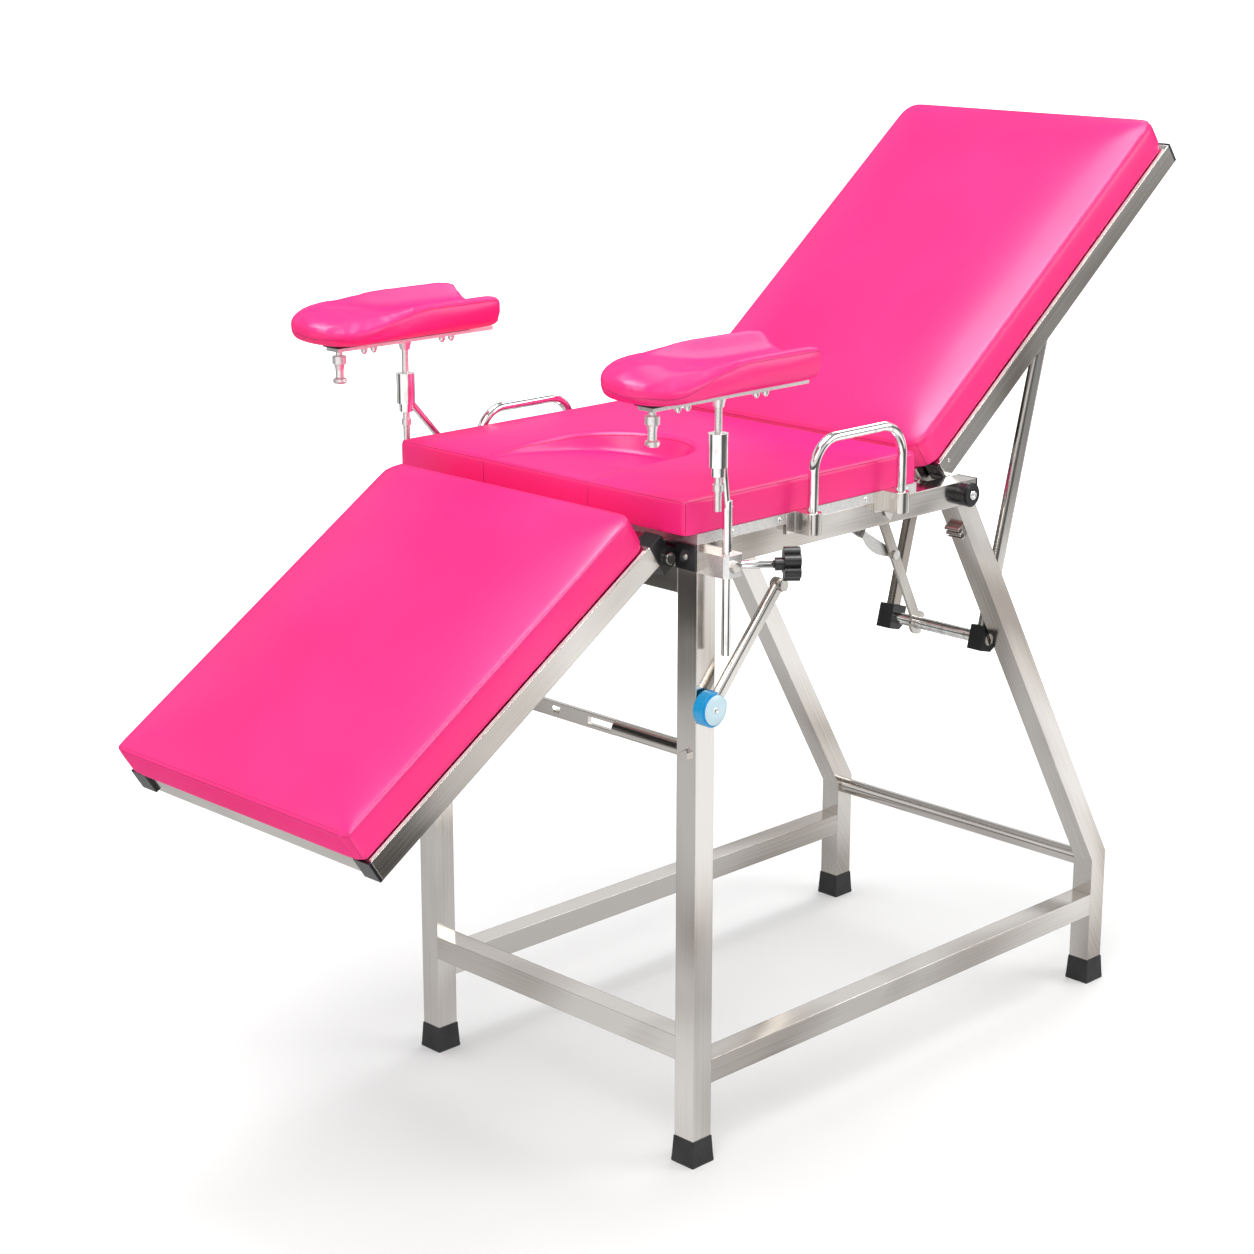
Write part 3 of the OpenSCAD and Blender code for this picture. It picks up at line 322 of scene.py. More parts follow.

# %% [markdown]
# ## Small helpers for meshes
# A new piece starts as a bmesh, which is shaped by operators and then handed
# over to an object. `new_piece` does what every piece needs: it merges
# doubles, turns the normals outwards, smooths what is round, gives the mesh
# its material and says which body the piece moves with.

# %% Mesh helpers
def new_piece(name, bm, material, body, smooth=True, angle=40):
    """Makes a bmesh an object that rides on a body."""
    bmesh.ops.remove_doubles(bm, verts=bm.verts, dist=0.01 * MM)
    bmesh.ops.recalc_face_normals(bm, faces=bm.faces)
    mesh = bpy.data.meshes.new(name)
    bm.to_mesh(mesh)
    bm.free()
    piece = bpy.data.objects.new(name, mesh)
    scene.collection.objects.link(piece)
    mesh.materials.append(material)
    if smooth:
        mesh.shade_smooth()
        mesh.set_sharp_from_angle(angle=math.radians(angle))
    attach(piece, body)
    return piece


def bake(piece):
    """Applies the modifiers of a piece to its mesh."""
    graph = bpy.context.evaluated_depsgraph_get()
    mesh = bpy.data.meshes.new_from_object(piece.evaluated_get(graph))
    piece.modifiers.clear()
    old, piece.data = piece.data, mesh
    bpy.data.meshes.remove(old)


def lathe(bm, profile, centre, axis, steps):
    """Spins a profile of (radius, height) points round an axis through centre."""
    axis = Vector(axis).normalized()
    turn = Vector((0, 0, 1)).rotation_difference(axis).to_matrix()
    verts = [bm.verts.new(Vector(centre) + turn @ Vector((r, 0, h))) for r, h in profile]
    edges = [bm.edges.new(pair) for pair in zip(verts, verts[1:])]
    bmesh.ops.spin(bm, geom=verts + edges, cent=centre, axis=axis, angle=2 * math.pi,
                   steps=steps, use_merge=True)


def tube_along(points, radius, name, material, body, closed=False):
    """A round bead along points, made from a curve and turned into a mesh."""
    curve = bpy.data.curves.new(name + "_path", "CURVE")
    curve.dimensions = "3D"
    curve.bevel_depth = radius
    curve.bevel_resolution = 2
    curve.use_fill_caps = not closed
    line = curve.splines.new("POLY")
    line.points.add(len(points) - 1)
    for spot, point in zip(line.points, points):
        spot.co = (*point, 1)
    line.use_cyclic_u = closed
    holder = bpy.data.objects.new(name + "_path", curve)
    scene.collection.objects.link(holder)
    graph = bpy.context.evaluated_depsgraph_get()
    mesh = bpy.data.meshes.new_from_object(holder.evaluated_get(graph))
    bm = bmesh.new()
    bm.from_mesh(mesh)
    bpy.data.objects.remove(holder)
    bpy.data.meshes.remove(mesh)
    return new_piece(name, bm, material, body)


def on_surface(piece, points, lift=0.0):
    """The nearest place on a piece's surface for each point, lifted along its normal."""
    places = []
    for point in points:
        hit, spot, normal, _ = piece.closest_point_on_mesh(Vector(point))
        places.append(spot + normal * lift)
    return places

# %% [markdown]
# ## Filling a cushion with air
# A cushion cover is cut flat and stands up because the foam presses on it. The
# cloth simulation does the same: the shape is remeshed evenly, the bottom and
# the seams are held, and pressure swells the rest. A cap on how far a point
# may move keeps the cushion inside its place.

# %% Cloth simulation for padded pieces
PRESSURE, TENSION, BENDING, LAST_FRAME = 4.0, 15, 2, 20


def swell(piece, held, cap, voxel=5 * MM):
    """Remeshes a closed piece and swells it; held(co) says how firmly a point is held, 0 to 1."""
    remesh = piece.modifiers.new("even_mesh", "REMESH")
    remesh.mode = "VOXEL"
    remesh.voxel_size = voxel
    bake(piece)
    mesh = piece.data
    start = [v.co.copy() for v in mesh.vertices]
    group = piece.vertex_groups.new(name="held")
    for v in mesh.vertices:
        group.add([v.index], held(v.co), "REPLACE")
    cloth = piece.modifiers.new("cover", "CLOTH")
    cloth.settings.use_pressure = True
    cloth.settings.uniform_pressure_force = PRESSURE
    cloth.settings.effector_weights.gravity = 0.0
    cloth.settings.vertex_group_mass = "held"
    cloth.settings.tension_stiffness = TENSION
    cloth.settings.bending_stiffness = BENDING
    cloth.point_cache.frame_start, cloth.point_cache.frame_end = 1, LAST_FRAME
    for step in range(1, LAST_FRAME + 1):
        scene.frame_set(step)
    graph = bpy.context.evaluated_depsgraph_get()
    swollen = [v.co.copy() for v in piece.evaluated_get(graph).data.vertices]
    piece.modifiers.clear()
    piece.vertex_groups.clear()
    scene.frame_set(1)
    for v, now, was in zip(mesh.vertices, swollen, start):
        step = now - was
        if step.length > cap:
            step = step.normalized() * cap
        v.co = was + step


def smooth_skin(piece, rounds=2):
    """Evens out the voxel steps and adds one subdivision."""
    bm = bmesh.new()
    bm.from_mesh(piece.data)
    for _ in range(rounds):
        bmesh.ops.smooth_vert(bm, verts=bm.verts, factor=0.5, use_axis_x=True,
                              use_axis_y=True, use_axis_z=True)
    bm.to_mesh(piece.data)
    bm.free()
    finer = piece.modifiers.new("finer", "SUBSURF")
    finer.levels = finer.render_levels = 1
    bake(piece)
    piece.data.shade_smooth()

# %% [markdown]
# ## The three flat cushions
# Seat, backrest and leg section have the same build: a foam block on a board,
# with a boxed side panel. The top falls away to the seam over the last few
# centimetres, the side is nearly straight. The block starts as a cube whose
# upright edges are bevelled. Extruding the top face again and again, each time
# a little smaller and higher, gives the rounded shoulder.

# %% Cushion block
# Each ring of the shoulder: how far in from the last one in millimetres, and its
# share of the shoulder's height. Two wide rings then share out the crown.
SHOULDER = [(2, 0.16), (4, 0.22), (6, 0.2), (8, 0.17), (10, 0.14), (14, 0.11)]
CROWN = [(50, 0.7), (50, 0.3)]


def cushion_block(length, width, height, radii, shoulder, crown):
    """A block from x 0 to length, y centred, z from 0. radii are (at x 0, at x length)."""
    bm = bmesh.new()
    bmesh.ops.create_cube(bm, size=1)
    side_h = height - shoulder - crown
    bmesh.ops.scale(bm, vec=(length, width, side_h), verts=bm.verts)
    bmesh.ops.translate(bm, vec=(length / 2, 0, side_h / 2), verts=bm.verts)
    for at_end, radius in enumerate(radii):
        upright = [e for e in bm.edges if abs(e.verts[0].co.z - e.verts[1].co.z) > side_h / 2
                   and (e.verts[0].co.x > length / 2) == bool(at_end)]
        bmesh.ops.bevel(bm, geom=upright, offset=radius, segments=6, affect="EDGES",
                        profile=0.5, material=-1)
    top = max(bm.faces, key=lambda f: f.calc_center_median().z)
    middle = Vector((length / 2, width / 2, 0))
    done = 0.0
    for inset, rise in SHOULDER + [(wide, crown / shoulder * share) for wide, share in CROWN]:
        made = bmesh.ops.extrude_face_region(bm, geom=[top])["geom"]
        bmesh.ops.delete(bm, geom=[top], context="FACES")
        top = next(g for g in made if isinstance(g, bmesh.types.BMFace))
        left = [1 - inset * MM / (half - done) for half in middle[:2]]
        bmesh.ops.scale(bm, vec=(*left, 1), verts=top.verts,
                        space=Matrix.Translation((-length / 2, 0, 0)))
        bmesh.ops.translate(bm, vec=(0, 0, rise * shoulder), verts=top.verts)
        done += inset * MM
    return bm


CORNER_STEPS, SPACING = 6, 12 * MM


def outline(length, width, radii, inward=0.0):
    """Points round the block's plan, with its corner radii."""
    points = []
    corners = [(length, width / 2, radii[1], 0), (0, width / 2, radii[0], 90),
               (0, -width / 2, radii[0], 180), (length, -width / 2, radii[1], 270)]
    for x, y, r, start in corners:
        cx, cy = x - math.copysign(r, x - length / 2), y - math.copysign(r, y)
        for k in range(CORNER_STEPS + 1):
            a = math.radians(start + 90 * k / CORNER_STEPS)
            points.append(Vector((cx + (r - inward) * math.cos(a),
                                  cy + (r - inward) * math.sin(a), 0)))
    filled = []
    for p, q in zip(points, points[1:] + points[:1]):
        n = max(1, round((q - p).length / SPACING))
        filled += [p.lerp(q, k / n) for k in range(n)]
    return filled

# %% [markdown]
# A seam is a thin welt on the surface, in a darker pink that is painted shade:
# the shadow in the crease of a seam. Its points start on the plan of the
# cushion and move to the swollen skin, so the welt follows every bulge. One
# seam runs round the top of the side panel, a line of stitches just inside it,
# and one seam down each corner.

# %% A cushion with its seams
CLEAR = 0.4 * MM            # between the cover and its board
COVER_DROP = 1 * MM         # room for the swelling, below the height asked for
BOARD_IN = 7.5 * MM         # how far the board's edge lies inside the cover's rim
RIM_FADE = 8 * MM           # height over which the rim is pushed out to a crisp edge
HOLD_EDGE, HOLD_SEAM = 6 * MM, 4 * MM
WELT, WELT_LIFT, STITCH_LIFT, STITCH_IN = 0.6 * MM, 0.1 * MM, -0.3 * MM, 5 * MM
CORNER_LOW, CORNER_POINTS = 3 * MM, 8


def make_cushion(name, node, to_world, size, radii, body, cap, shape=None, shoulder=7, crown=5,
                 tuck=0):
    """Builds a cushion in its own frame, swells it, and puts it in the model with to_world.

    Sizes are in millimetres. The rim of the cover reaches down past the edge of
    the board by tuck.
    """
    length, width, height = [v * MM for v in size]
    radii = [r * MM for r in radii]
    shoulder, crown, tuck = shoulder * MM, crown * MM, tuck * MM
    bm = cushion_block(length, width, height - COVER_DROP + tuck, radii, shoulder, crown)
    bmesh.ops.translate(bm, vec=(0, 0, -tuck), verts=bm.verts)
    piece = new_piece(name, bm, pink, body)
    seam_z = height - COVER_DROP - shoulder - crown

    def rims(co):
        """How far a point is from the nearer end and from the nearer side."""
        return min(co.x, length - co.x), width / 2 - abs(co.y)

    def held(co):
        near_seam = abs(co.z - seam_z) < HOLD_SEAM and min(rims(co)) < HOLD_SEAM
        at_corner = max(rims(co)) < HOLD_EDGE
        return 1.0 if co.z < HOLD_EDGE or near_seam or at_corner else 0.0

    swell(piece, held, cap)
    if shape:
        for v in piece.data.vertices:
            v.co = shape(v.co)
    smooth_skin(piece)
    for v in piece.data.vertices:
        x_rim, y_rim = rims(v.co)
        v.co.z = max(v.co.z, -tuck if tuck and min(x_rim, y_rim) < BOARD_IN else CLEAR)
        low = max(0, 1 - (v.co.z + tuck) / RIM_FADE)
        if 0 < y_rim < BOARD_IN:
            v.co.y += math.copysign(low * y_rim * (1 - y_rim / BOARD_IN), v.co.y)
        if 0 < x_rim < BOARD_IN and y_rim > max(radii):
            v.co.x += math.copysign(low * x_rim * (1 - x_rim / BOARD_IN), v.co.x - length / 2)

    top_line = [p + Vector((0, 0, seam_z)) for p in outline(length, width, radii)]
    stitches = [p + Vector((0, 0, seam_z + 1 * MM))
                for p in outline(length, width, radii, inward=STITCH_IN)]
    seams = [("top_seam", on_surface(piece, top_line, WELT_LIFT), True),
             ("stitch_line", on_surface(piece, stitches, STITCH_LIFT), True)]
    for n, (x, r) in enumerate(((0, radii[0]), (length, radii[1]))):
        for m, y in enumerate((-width / 2, width / 2)):
            turn = r * (1 - math.sqrt(0.5))
            foot = Vector((x + turn * (1 if n == 0 else -1), y - math.copysign(turn, y), 0))
            heights = [CORNER_LOW + (seam_z - CORNER_LOW) * k / CORNER_POINTS
                       for k in range(CORNER_POINTS + 1)]
            line = [foot + Vector((0, 0, z)) for z in heights]
            seams.append((f"corner_seam_{n}{m}", on_surface(piece, line, WELT_LIFT), False))
    piece.data.transform(to_world)
    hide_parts(node)
    for label, points, closed in seams:
        tube_along([to_world @ p for p in points], WELT, f"{name}_{label}", seam_pink_painted_shade, body,
                   closed)
    print(name, len(piece.data.vertices), "vertices,", len(seams), "seams")
    return piece

# %% [markdown]
# The seat cushion has a hollow at its front for a drain bowl. Its floor starts
# level with the front edge and sinks towards a round back wall. The hollow is
# pressed into the remeshed block by moving its points down, with a soft rim.

# %% Seat cushion
SEAT_FRONT, SEAT_BASE = -20 * MM, 822 * MM
HOLLOW_HALF, HOLLOW_LENGTH, HOLLOW_DEPTH = 95 * MM, 240 * MM, 30 * MM
HOLLOW_STRAIGHT = HOLLOW_LENGTH - HOLLOW_HALF
RIM_OUT, RIM_WIDTH = 4 * MM, 16 * MM
PRESS_FROM, PRESS_FULL = 24 * MM, 14 * MM


def rim_distance(x, y):
    """How far a point is inside the hollow's U outline."""
    if x < HOLLOW_STRAIGHT:
        return HOLLOW_HALF - abs(y)
    return HOLLOW_HALF - math.hypot(x - HOLLOW_STRAIGHT, y)


def press_hollow(co):
    """Moves a point of the block down into the hollow."""
    inside = rim_distance(co.x, co.y)
    if co.z < PRESS_FROM or inside < -RIM_OUT:
        return co
    t = min(1.0, max(0.0, (inside + RIM_OUT) / RIM_WIDTH))
    soft = t * t * (3 - 2 * t)
    high = min(1.0, (co.z - PRESS_FROM) / PRESS_FULL)
    sink = HOLLOW_DEPTH * min(1.0, max(0.0, co.x / HOLLOW_LENGTH)) * soft * high
    return Vector((co.x, co.y, co.z - sink))


seat_place = Matrix.Translation((SEAT_FRONT - MID_X, 0, SEAT_BASE))
seat = make_cushion("seat_cushion_cover", "seat_cushion", seat_place, (425, 520, 48), (5, 5),
                    "frame", 3 * MM, press_hollow, shoulder=2.5, crown=3)

# %% [markdown]
# The hollow's insert is sewn in: a seam runs along its rim and down the front.

# %% Seams of the hollow
RIM_HEIGHT, STRAIGHT_STEPS, ARC_STEPS = 46 * MM, 14, 24
rim = [Vector((2 * MM, HOLLOW_HALF, 0))]
rim += [Vector((HOLLOW_STRAIGHT * k / STRAIGHT_STEPS, HOLLOW_HALF, 0))
        for k in range(1, STRAIGHT_STEPS)]
arc = [math.pi * k / ARC_STEPS for k in range(ARC_STEPS + 1)]
rim += [Vector((HOLLOW_STRAIGHT + HOLLOW_HALF * math.sin(a), HOLLOW_HALF * math.cos(a), 0))
        for a in arc]
rim += [Vector((p.x, -p.y, 0)) for p in reversed(rim[:STRAIGHT_STEPS])]
down = [Vector((-1 * MM, HOLLOW_HALF, z * MM)) for z in (6, 14, 22, 30, 37)]
down_far = [Vector((p.x, -p.y, p.z)) for p in reversed(down)]
loop = down + [p + Vector((0, 0, RIM_HEIGHT)) for p in rim] + down_far
tube_along(on_surface(seat, [seat_place @ p for p in loop]), WELT, "seat_hollow_seam", seam_pink_painted_shade,
           "frame")

# %% [markdown]
# The backrest and the leg section lean, so their cushions are built level and
# turned about their hinge. The backrest is rounded at all four corners, the leg
# section only at the two next to its hinge.

# %% Backrest and leg section cushions
HINGE = Vector((500 * MM - MID_X, 0, 793 * MM))
FOOT_HINGE = Vector((-15 * MM - MID_X, 0, 790 * MM))
BOARD_TOP, SWELL_CAP = 35 * MM, 5 * MM
lean_back = Matrix.Translation(HINGE) @ Matrix.Rotation(-BACK_LEAN, 4, "Y")
lean_foot = Matrix.Translation(FOOT_HINGE) @ Matrix.Rotation(-FOOT_DROP, 4, "Y")
back_place = lean_back @ Matrix.Translation((0, 0, BOARD_TOP))
make_cushion("back_cushion_cover", "back_cushion", back_place, (639, 443, 53), (24, 22),
             "backrest", SWELL_CAP, shoulder=8, crown=2, tuck=2.6)
foot_place = lean_foot @ Matrix.Translation((-536 * MM, 0, BOARD_TOP))
make_cushion("leg_cushion_cover", "foot_cushion", foot_place, (527, 443, 53), (7, 24),
             "leg_section", SWELL_CAP, shoulder=7, crown=5, tuck=2.6)

# %% [markdown]
# A thin white strip lies along each rail beside the cushion, where the board
# rests on the rail. Its white is a painted reflection: the bright sheen that the
# rail's polished top shows there.

# %% Rail highlight bands, a painted reflection
BAND_Y, BAND_Z, BAND_WIDTH, BAND_HEIGHT = 224.1, 32.6, 3.6, 0.8


def rail_highlight_band(name, to_world, start, length, side, body):
    """A thin white strip, a painted reflection, on the rail of one side, from start along length,
    in millimetres.
    """
    bm = bmesh.new()
    bmesh.ops.create_cube(bm, size=1)
    bmesh.ops.scale(bm, vec=(length * MM, BAND_WIDTH * MM, BAND_HEIGHT * MM), verts=bm.verts)
    middle = ((start + length / 2) * MM, side * BAND_Y * MM, BAND_Z * MM)
    bmesh.ops.transform(bm, matrix=to_world @ Matrix.Translation(middle), verts=bm.verts)
    # White board colour here is a painted reflection of the bright rail top.
    new_piece(name, bm, white_board, body, smooth=False)


for side_name, side in (("near", -1), ("far", 1)):
    rail_highlight_band(f"back_edge_band_{side_name}", lean_back, 22, 605, side, "backrest")
    rail_highlight_band(f"leg_edge_band_{side_name}", lean_foot, -528, 505, side, "leg_section")
print("edge bands placed")

# %% [markdown]
# ## Gutter pads
# Each pad is a shell of foam under vinyl. It has a round, thick nose at the
# foot end and a trough for the calf, whose two lips run to the head end. One
# ring of points gives the cross-section. It is extruded from station to
# station along the pad, and each station widens, lifts and hollows it. The
# far lip of both pads is the higher one at rest.

# %% Pad form
PAD_FRONT, PAD_LENGTH, PAD_WIDTH, PAD_HEIGHT = -159 * MM, 294 * MM, 110 * MM, 51 * MM
BAR_TOP, PAD_BASE, PAD_WELT = 992 * MM, 994.5 * MM, 0.7 * MM
PAD_Y = 282                 # of the middle of a pad, in millimetres
LIP_RISE = 0.28             # how much the top leans up towards the far lip
RING = 48
STATIONS = [0, 0.005, 0.015, 0.03, 0.05, 0.08, 0.12, 0.17, 0.23, 0.3, 0.4, 0.5, 0.6, 0.7, 0.8,
            0.88, 0.94, 0.98, 1.0]
# The section from the middle of the bottom, up one side, and to the middle of the top:
# place across, height at the trough, height at the nose, all as shares.
SECTION = [(0, 0, 0), (0.3, 0, 0), (0.5, 0.02, 0.02), (0.7, 0.07, 0.06), (0.84, 0.16, 0.14),
           (0.92, 0.32, 0.28), (0.97, 0.54, 0.46), (1, 0.76, 0.62), (0.97, 0.91, 0.74),
           (0.89, 0.98, 0.81), (0.78, 0.97, 0.86), (0.64, 0.88, 0.89), (0.48, 0.77, 0.91),
           (0.32, 0.69, 0.91), (0.16, 0.65, 0.91), (0, 0.64, 0.91)]


def ease(a, b, x):
    """0 below a, 1 above b, and a soft step between them."""
    t = min(1.0, max(0.0, (x - a) / (b - a)))
    return t * t * (3 - 2 * t)


def pad_section(s, u):
    """Place across and height of ring point u at share s of the length.

    u runs from 0 to 1 round the ring, from the middle of the bottom.
    """
    nose = math.sqrt(max(0.0, 1 - (1 - min(1.0, (s + 0.004) / 0.24)) ** 2))
    tail = math.sqrt(max(0.0, 1 - ease(0.9, 1.06, s) ** 2))
    t = (u * 2 if u < 0.5 else (1 - u) * 2) * (len(SECTION) - 1)
    k = min(int(t), len(SECTION) - 2)
    across, trough, full = [a + (b - a) * (t - k) for a, b in zip(SECTION[k], SECTION[k + 1])]
    up = full + (trough - full) * ease(0.06, 0.6, s)
    across *= PAD_WIDTH / 2 * (0.12 + 0.88 * nose) * (0.85 + 0.15 * tail) * (1 if u < 0.5 else -1)
    # At its tip the nose is thinner and rises off the bar.
    low = 0.4 * PAD_HEIGHT * (1 - nose)
    up *= (PAD_HEIGHT * (0.55 + 0.45 * nose) - low) * (0.8 + 0.2 * tail)
    rise = LIP_RISE + (0.75 * (1 - ease(0.08, 0.6, s)) if across < 0 else -0.1 * ease(0.4, 1, s))
    return across, low + up * (1 + rise * across / PAD_WIDTH)


def make_pad(name, node, body, side):
    """Extrudes the pad from station to station, swells it and gives it to its body."""
    bm = bmesh.new()
    bmesh.ops.create_circle(bm, cap_ends=False, radius=1, segments=RING)
    ring = list(bm.verts)

    def settle(verts, s):
        for k, v in enumerate(verts):
            across, up = pad_section(s, k / RING)
            v.co = Vector((PAD_FRONT + PAD_LENGTH * s - MID_X, side * PAD_Y * MM + across,
                           PAD_BASE + up))

    settle(ring, 0)
    loop = list(bm.edges)
    bmesh.ops.contextual_create(bm, geom=loop)
    for s in STATIONS[1:]:
        made = bmesh.ops.extrude_edge_only(bm, edges=loop)["geom"]
        loop = [e for e in made if isinstance(e, bmesh.types.BMEdge)]
        fresh = [v for v in made if isinstance(v, bmesh.types.BMVert)]
        order = {tuple(round(c, 7) for c in v.co): v for v in fresh}
        ring = [order[tuple(round(c, 7) for c in old.co)] for old in ring]
        settle(ring, s)
    bmesh.ops.contextual_create(bm, geom=loop)
    bmesh.ops.triangulate(bm, faces=[f for f in bm.faces if len(f.verts) > 4])
    piece = new_piece(name, bm, pink, body)
    swell(piece, lambda co: 1.0 if co.z < PAD_BASE + 5 * MM else 0.0, 2 * MM, voxel=4 * MM)
    smooth_skin(piece, rounds=1)
    for v in piece.data.vertices:
        v.co.z = max(v.co.z, PAD_BASE)
    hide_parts(node)
    print(name, len(piece.data.vertices), "vertices")
    return piece


def pad_seam(piece, name, body, side):
    """The seam is low round the nose and climbs to the outer edge of both lips."""
    points = []
    half = 40
    for k in range(2 * half + 1):
        turn = (k - half) / half
        place = 0.02 + 0.96 * abs(turn) ** 1.3
        u = (5.5 + 2.5 * ease(0.1, 0.45, place)) / (len(SECTION) - 1) / 2
        across, up = pad_section(place, u if turn > 0 else 1 - u)
        front = min(1, abs(turn) / 0.08)
        points.append(Vector((PAD_FRONT + PAD_LENGTH * place * front - MID_X,
                              side * PAD_Y * MM + across * front, PAD_BASE + up)))
    tube_along(on_surface(piece, points), PAD_WELT, name, seam_pink_painted_shade, body)


def pad_shade_sheet(name, body, side):
    """A thin black sheet between the bar and the pad, whose black is painted shade: the dark line
    under the pad.
    """
    bm = bmesh.new()
    bmesh.ops.create_cube(bm, size=1)
    bmesh.ops.scale(bm, vec=(222 * MM, 31 * MM, PAD_BASE - BAR_TOP - 0.5 * MM), verts=bm.verts)
    middle = (PAD_FRONT + 158 * MM - MID_X, side * PAD_Y * MM, (PAD_BASE + BAR_TOP) / 2 - 0.1 * MM)
    bmesh.ops.translate(bm, vec=middle, verts=bm.verts)
    # Black board colour here is painted shade, the dark line along the underside of the pad.
    new_piece(name, bm, black_board, body, smooth=False)


for side_name, side in (("near", -1), ("far", 1)):
    body = f"pad_{side_name}"
    pad = make_pad(f"gutter_pad_cover_{side_name}", f"gutter_pad_{side_name}", body, side)
    pad_seam(pad, f"gutter_pad_seam_{side_name}", body, side)
    pad_shade_sheet(f"gutter_pad_shade_sheet_{side_name}", body, side)

# %% [markdown]
# ## Screws, nuts and small plates
# What a fitter would add last. Each kind of head is a profile of (radius,
# height) that is spun round its axis, and a table says where each one sits:
# its place in the frame's millimetres, its axis and the body it moves with.

# %% Fasteners
PAN_HEAD = [(0, 1.9), (1.6, 1.75), (3.0, 1.2), (3.9, 0.3), (4.0, 0)]
DOME_NUT = [(0, 5.6), (1.6, 5.3), (2.8, 4.3), (3.3, 2.8), (3.4, 2.0), (4.4, 1.9), (4.4, 0)]
SOCKET_HEAD = [(0, 1.2), (2.6, 1.2), (2.8, 3.3), (3.4, 3.8), (5.6, 3.8), (6.2, 3.2), (6.2, 0)]
RIVET = [(0, 0.9), (1.7, 0.9), (2.1, 0.7), (2.4, 1.2), (3.2, 1.1), (3.7, 0.5), (3.8, 0)]
SMALL_HEAD = [(0, 1.2), (1.4, 1.1), (2.3, 0.5), (2.4, 0)]
WASHER = [(0, 0.6), (5.2, 0.6), (5.6, 0)]
ROD_SLEEVE = [(4.2, 17), (5.2, 17), (5.2, 56), (4.2, 57)]
DISC_FACE = [(0, 0.6), (18.2, 0.6), (18.9, 0)]
KNOB_TURN = math.radians(42)
NEAR, FAR, LEFT, DOWN = (0, -1, 0), (0, 1, 0), (-1, 0, 0), (0, 0, -1)


def spot(x, y, z):
    """A place given in the frame's millimetres, with x from the front legs."""
    return Vector((x * MM - MID_X, y * MM, z * MM))


def heads(name, profile, places, axis, material, body, steps=20):
    """One piece with the same head at several places; four steps make it a square."""
    bm = bmesh.new()
    for place in places:
        lathe(bm, [(r * MM, h * MM) for r, h in profile], place, axis, steps=steps)
    new_piece(name, bm, material, body, angle=50)


for side_name, side, axis in (("near", -1, NEAR), ("far", 1, FAR)):
    heads(f"strip_screws_{side_name}", PAN_HEAD,
          [spot(x, side * 260, 815.5) for x in (60, 145, 305, 385)],
          axis, aluminium, "frame")
    heads(f"corner_screws_{side_name}", PAN_HEAD, [spot(-4, side * 244, 793)], LEFT, zinc,
          "frame")
    heads(f"hub_screws_{side_name}", SOCKET_HEAD, [spot(500, side * 276, 793)], axis, chrome,
          "frame")
    heads(f"pad_nuts_{side_name}", DOME_NUT,
          [spot(x, side * PAD_Y, 983) for x in (-57, -41, 75, 91)],
          DOWN, aluminium, f"pad_{side_name}")
    heads(f"hinge_washers_{side_name}", WASHER, [spot(-14, side * 226.5, 788)], axis, zinc,
          "leg_section", steps=4)
    heads(f"hinge_screws_{side_name}", SMALL_HEAD, [spot(-14, side * 227.1, 788)], axis, zinc_dark,
          "leg_section")
    heads(f"back_screws_{side_name}", SMALL_HEAD, [spot(513, side * 226.5, 830)], axis, zinc,
          "backrest")
for side_name, side, x in (("near", -1, 28), ("far", 1, 96)):
    out = Vector((math.cos(KNOB_TURN), side * math.sin(KNOB_TURN), 0))
    heads(f"star_rod_{side_name}", ROD_SLEEVE, [spot(x, side * PAD_Y, 784.5)], out, chrome,
          f"clamp_knob_{side_name}")
heads("disc_face", DISC_FACE, [spot(12, -281.2, 607)], NEAR, blue_face, "side_arm")
heads("disc_rivet", RIVET, [spot(12, -281.7, 607)], NEAR, aluminium, "side_arm")
print("fasteners placed")

# %% [markdown]
# Each rubber foot ends in a round bead round its lower edge.

# %% Beads of the feet
BEAD, BEAD_Z, FLARED = 1.6 * MM, 3 * MM, 19 * MM
low, high = [Vector(corner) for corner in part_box("rubber_feet")]
for n, x in enumerate((low.x + FLARED, high.x - FLARED)):
    for m, y in enumerate((low.y + FLARED, high.y - FLARED)):
        half = FLARED - BEAD / 2
        bead = [Vector((x + half * i, y + half * j, BEAD_Z))
                for i, j in ((-1, -1), (1, -1), (1, 1), (-1, 1))]
        tube_along(bead, BEAD, f"foot_bead_{n}{m}", rubber, "frame", closed=True)
print("beads placed")

# %% [markdown]
# ## Studio
# The table stands on a pale floor in front of a white background. The camera
# sees both as white. A mirror would show nothing but white then, and steel
# needs something to reflect: upright faces, seen from above, show the floor up
# to a few metres away. So for reflections the floor has its own brightness, in
# sectors round the table as dark and light cards would give. One set of
# sectors lies beside the table, one around it and one further out, whose edge
# wanders as a bent tube's reflections do. The dome above has bands of its own:
# dark ones for the flat tops, and a bright one overhead for the highlights.

# %% Floor, lamps and world
def number_ramp(mat, factor, *stops):
    """Numbers over a factor from 0 to 1. Stops are (place, number)."""
    top = max(value for _, value in stops)
    node = add(mat, "ValToRGB", {"Fac": factor})
    while len(node.color_ramp.elements) < len(stops):
        node.color_ramp.elements.new(0.5)
    for element, (place, value) in zip(node.color_ramp.elements, stops):
        element.position = place
        element.color = [value / top] * 3 + [1]
    return number(mat, "MULTIPLY", node.outputs["Color"], top)


def vector(mat, operation, *values):
    """The vector output of a vector sum, product or the like."""
    return add(mat, "VectorMath", dict(enumerate(values)), operation=operation).outputs["Vector"]


def measure(mat, operation, *values):
    """The number output of a length or a dot product."""
    return add(mat, "VectorMath", dict(enumerate(values)), operation=operation).outputs["Value"]


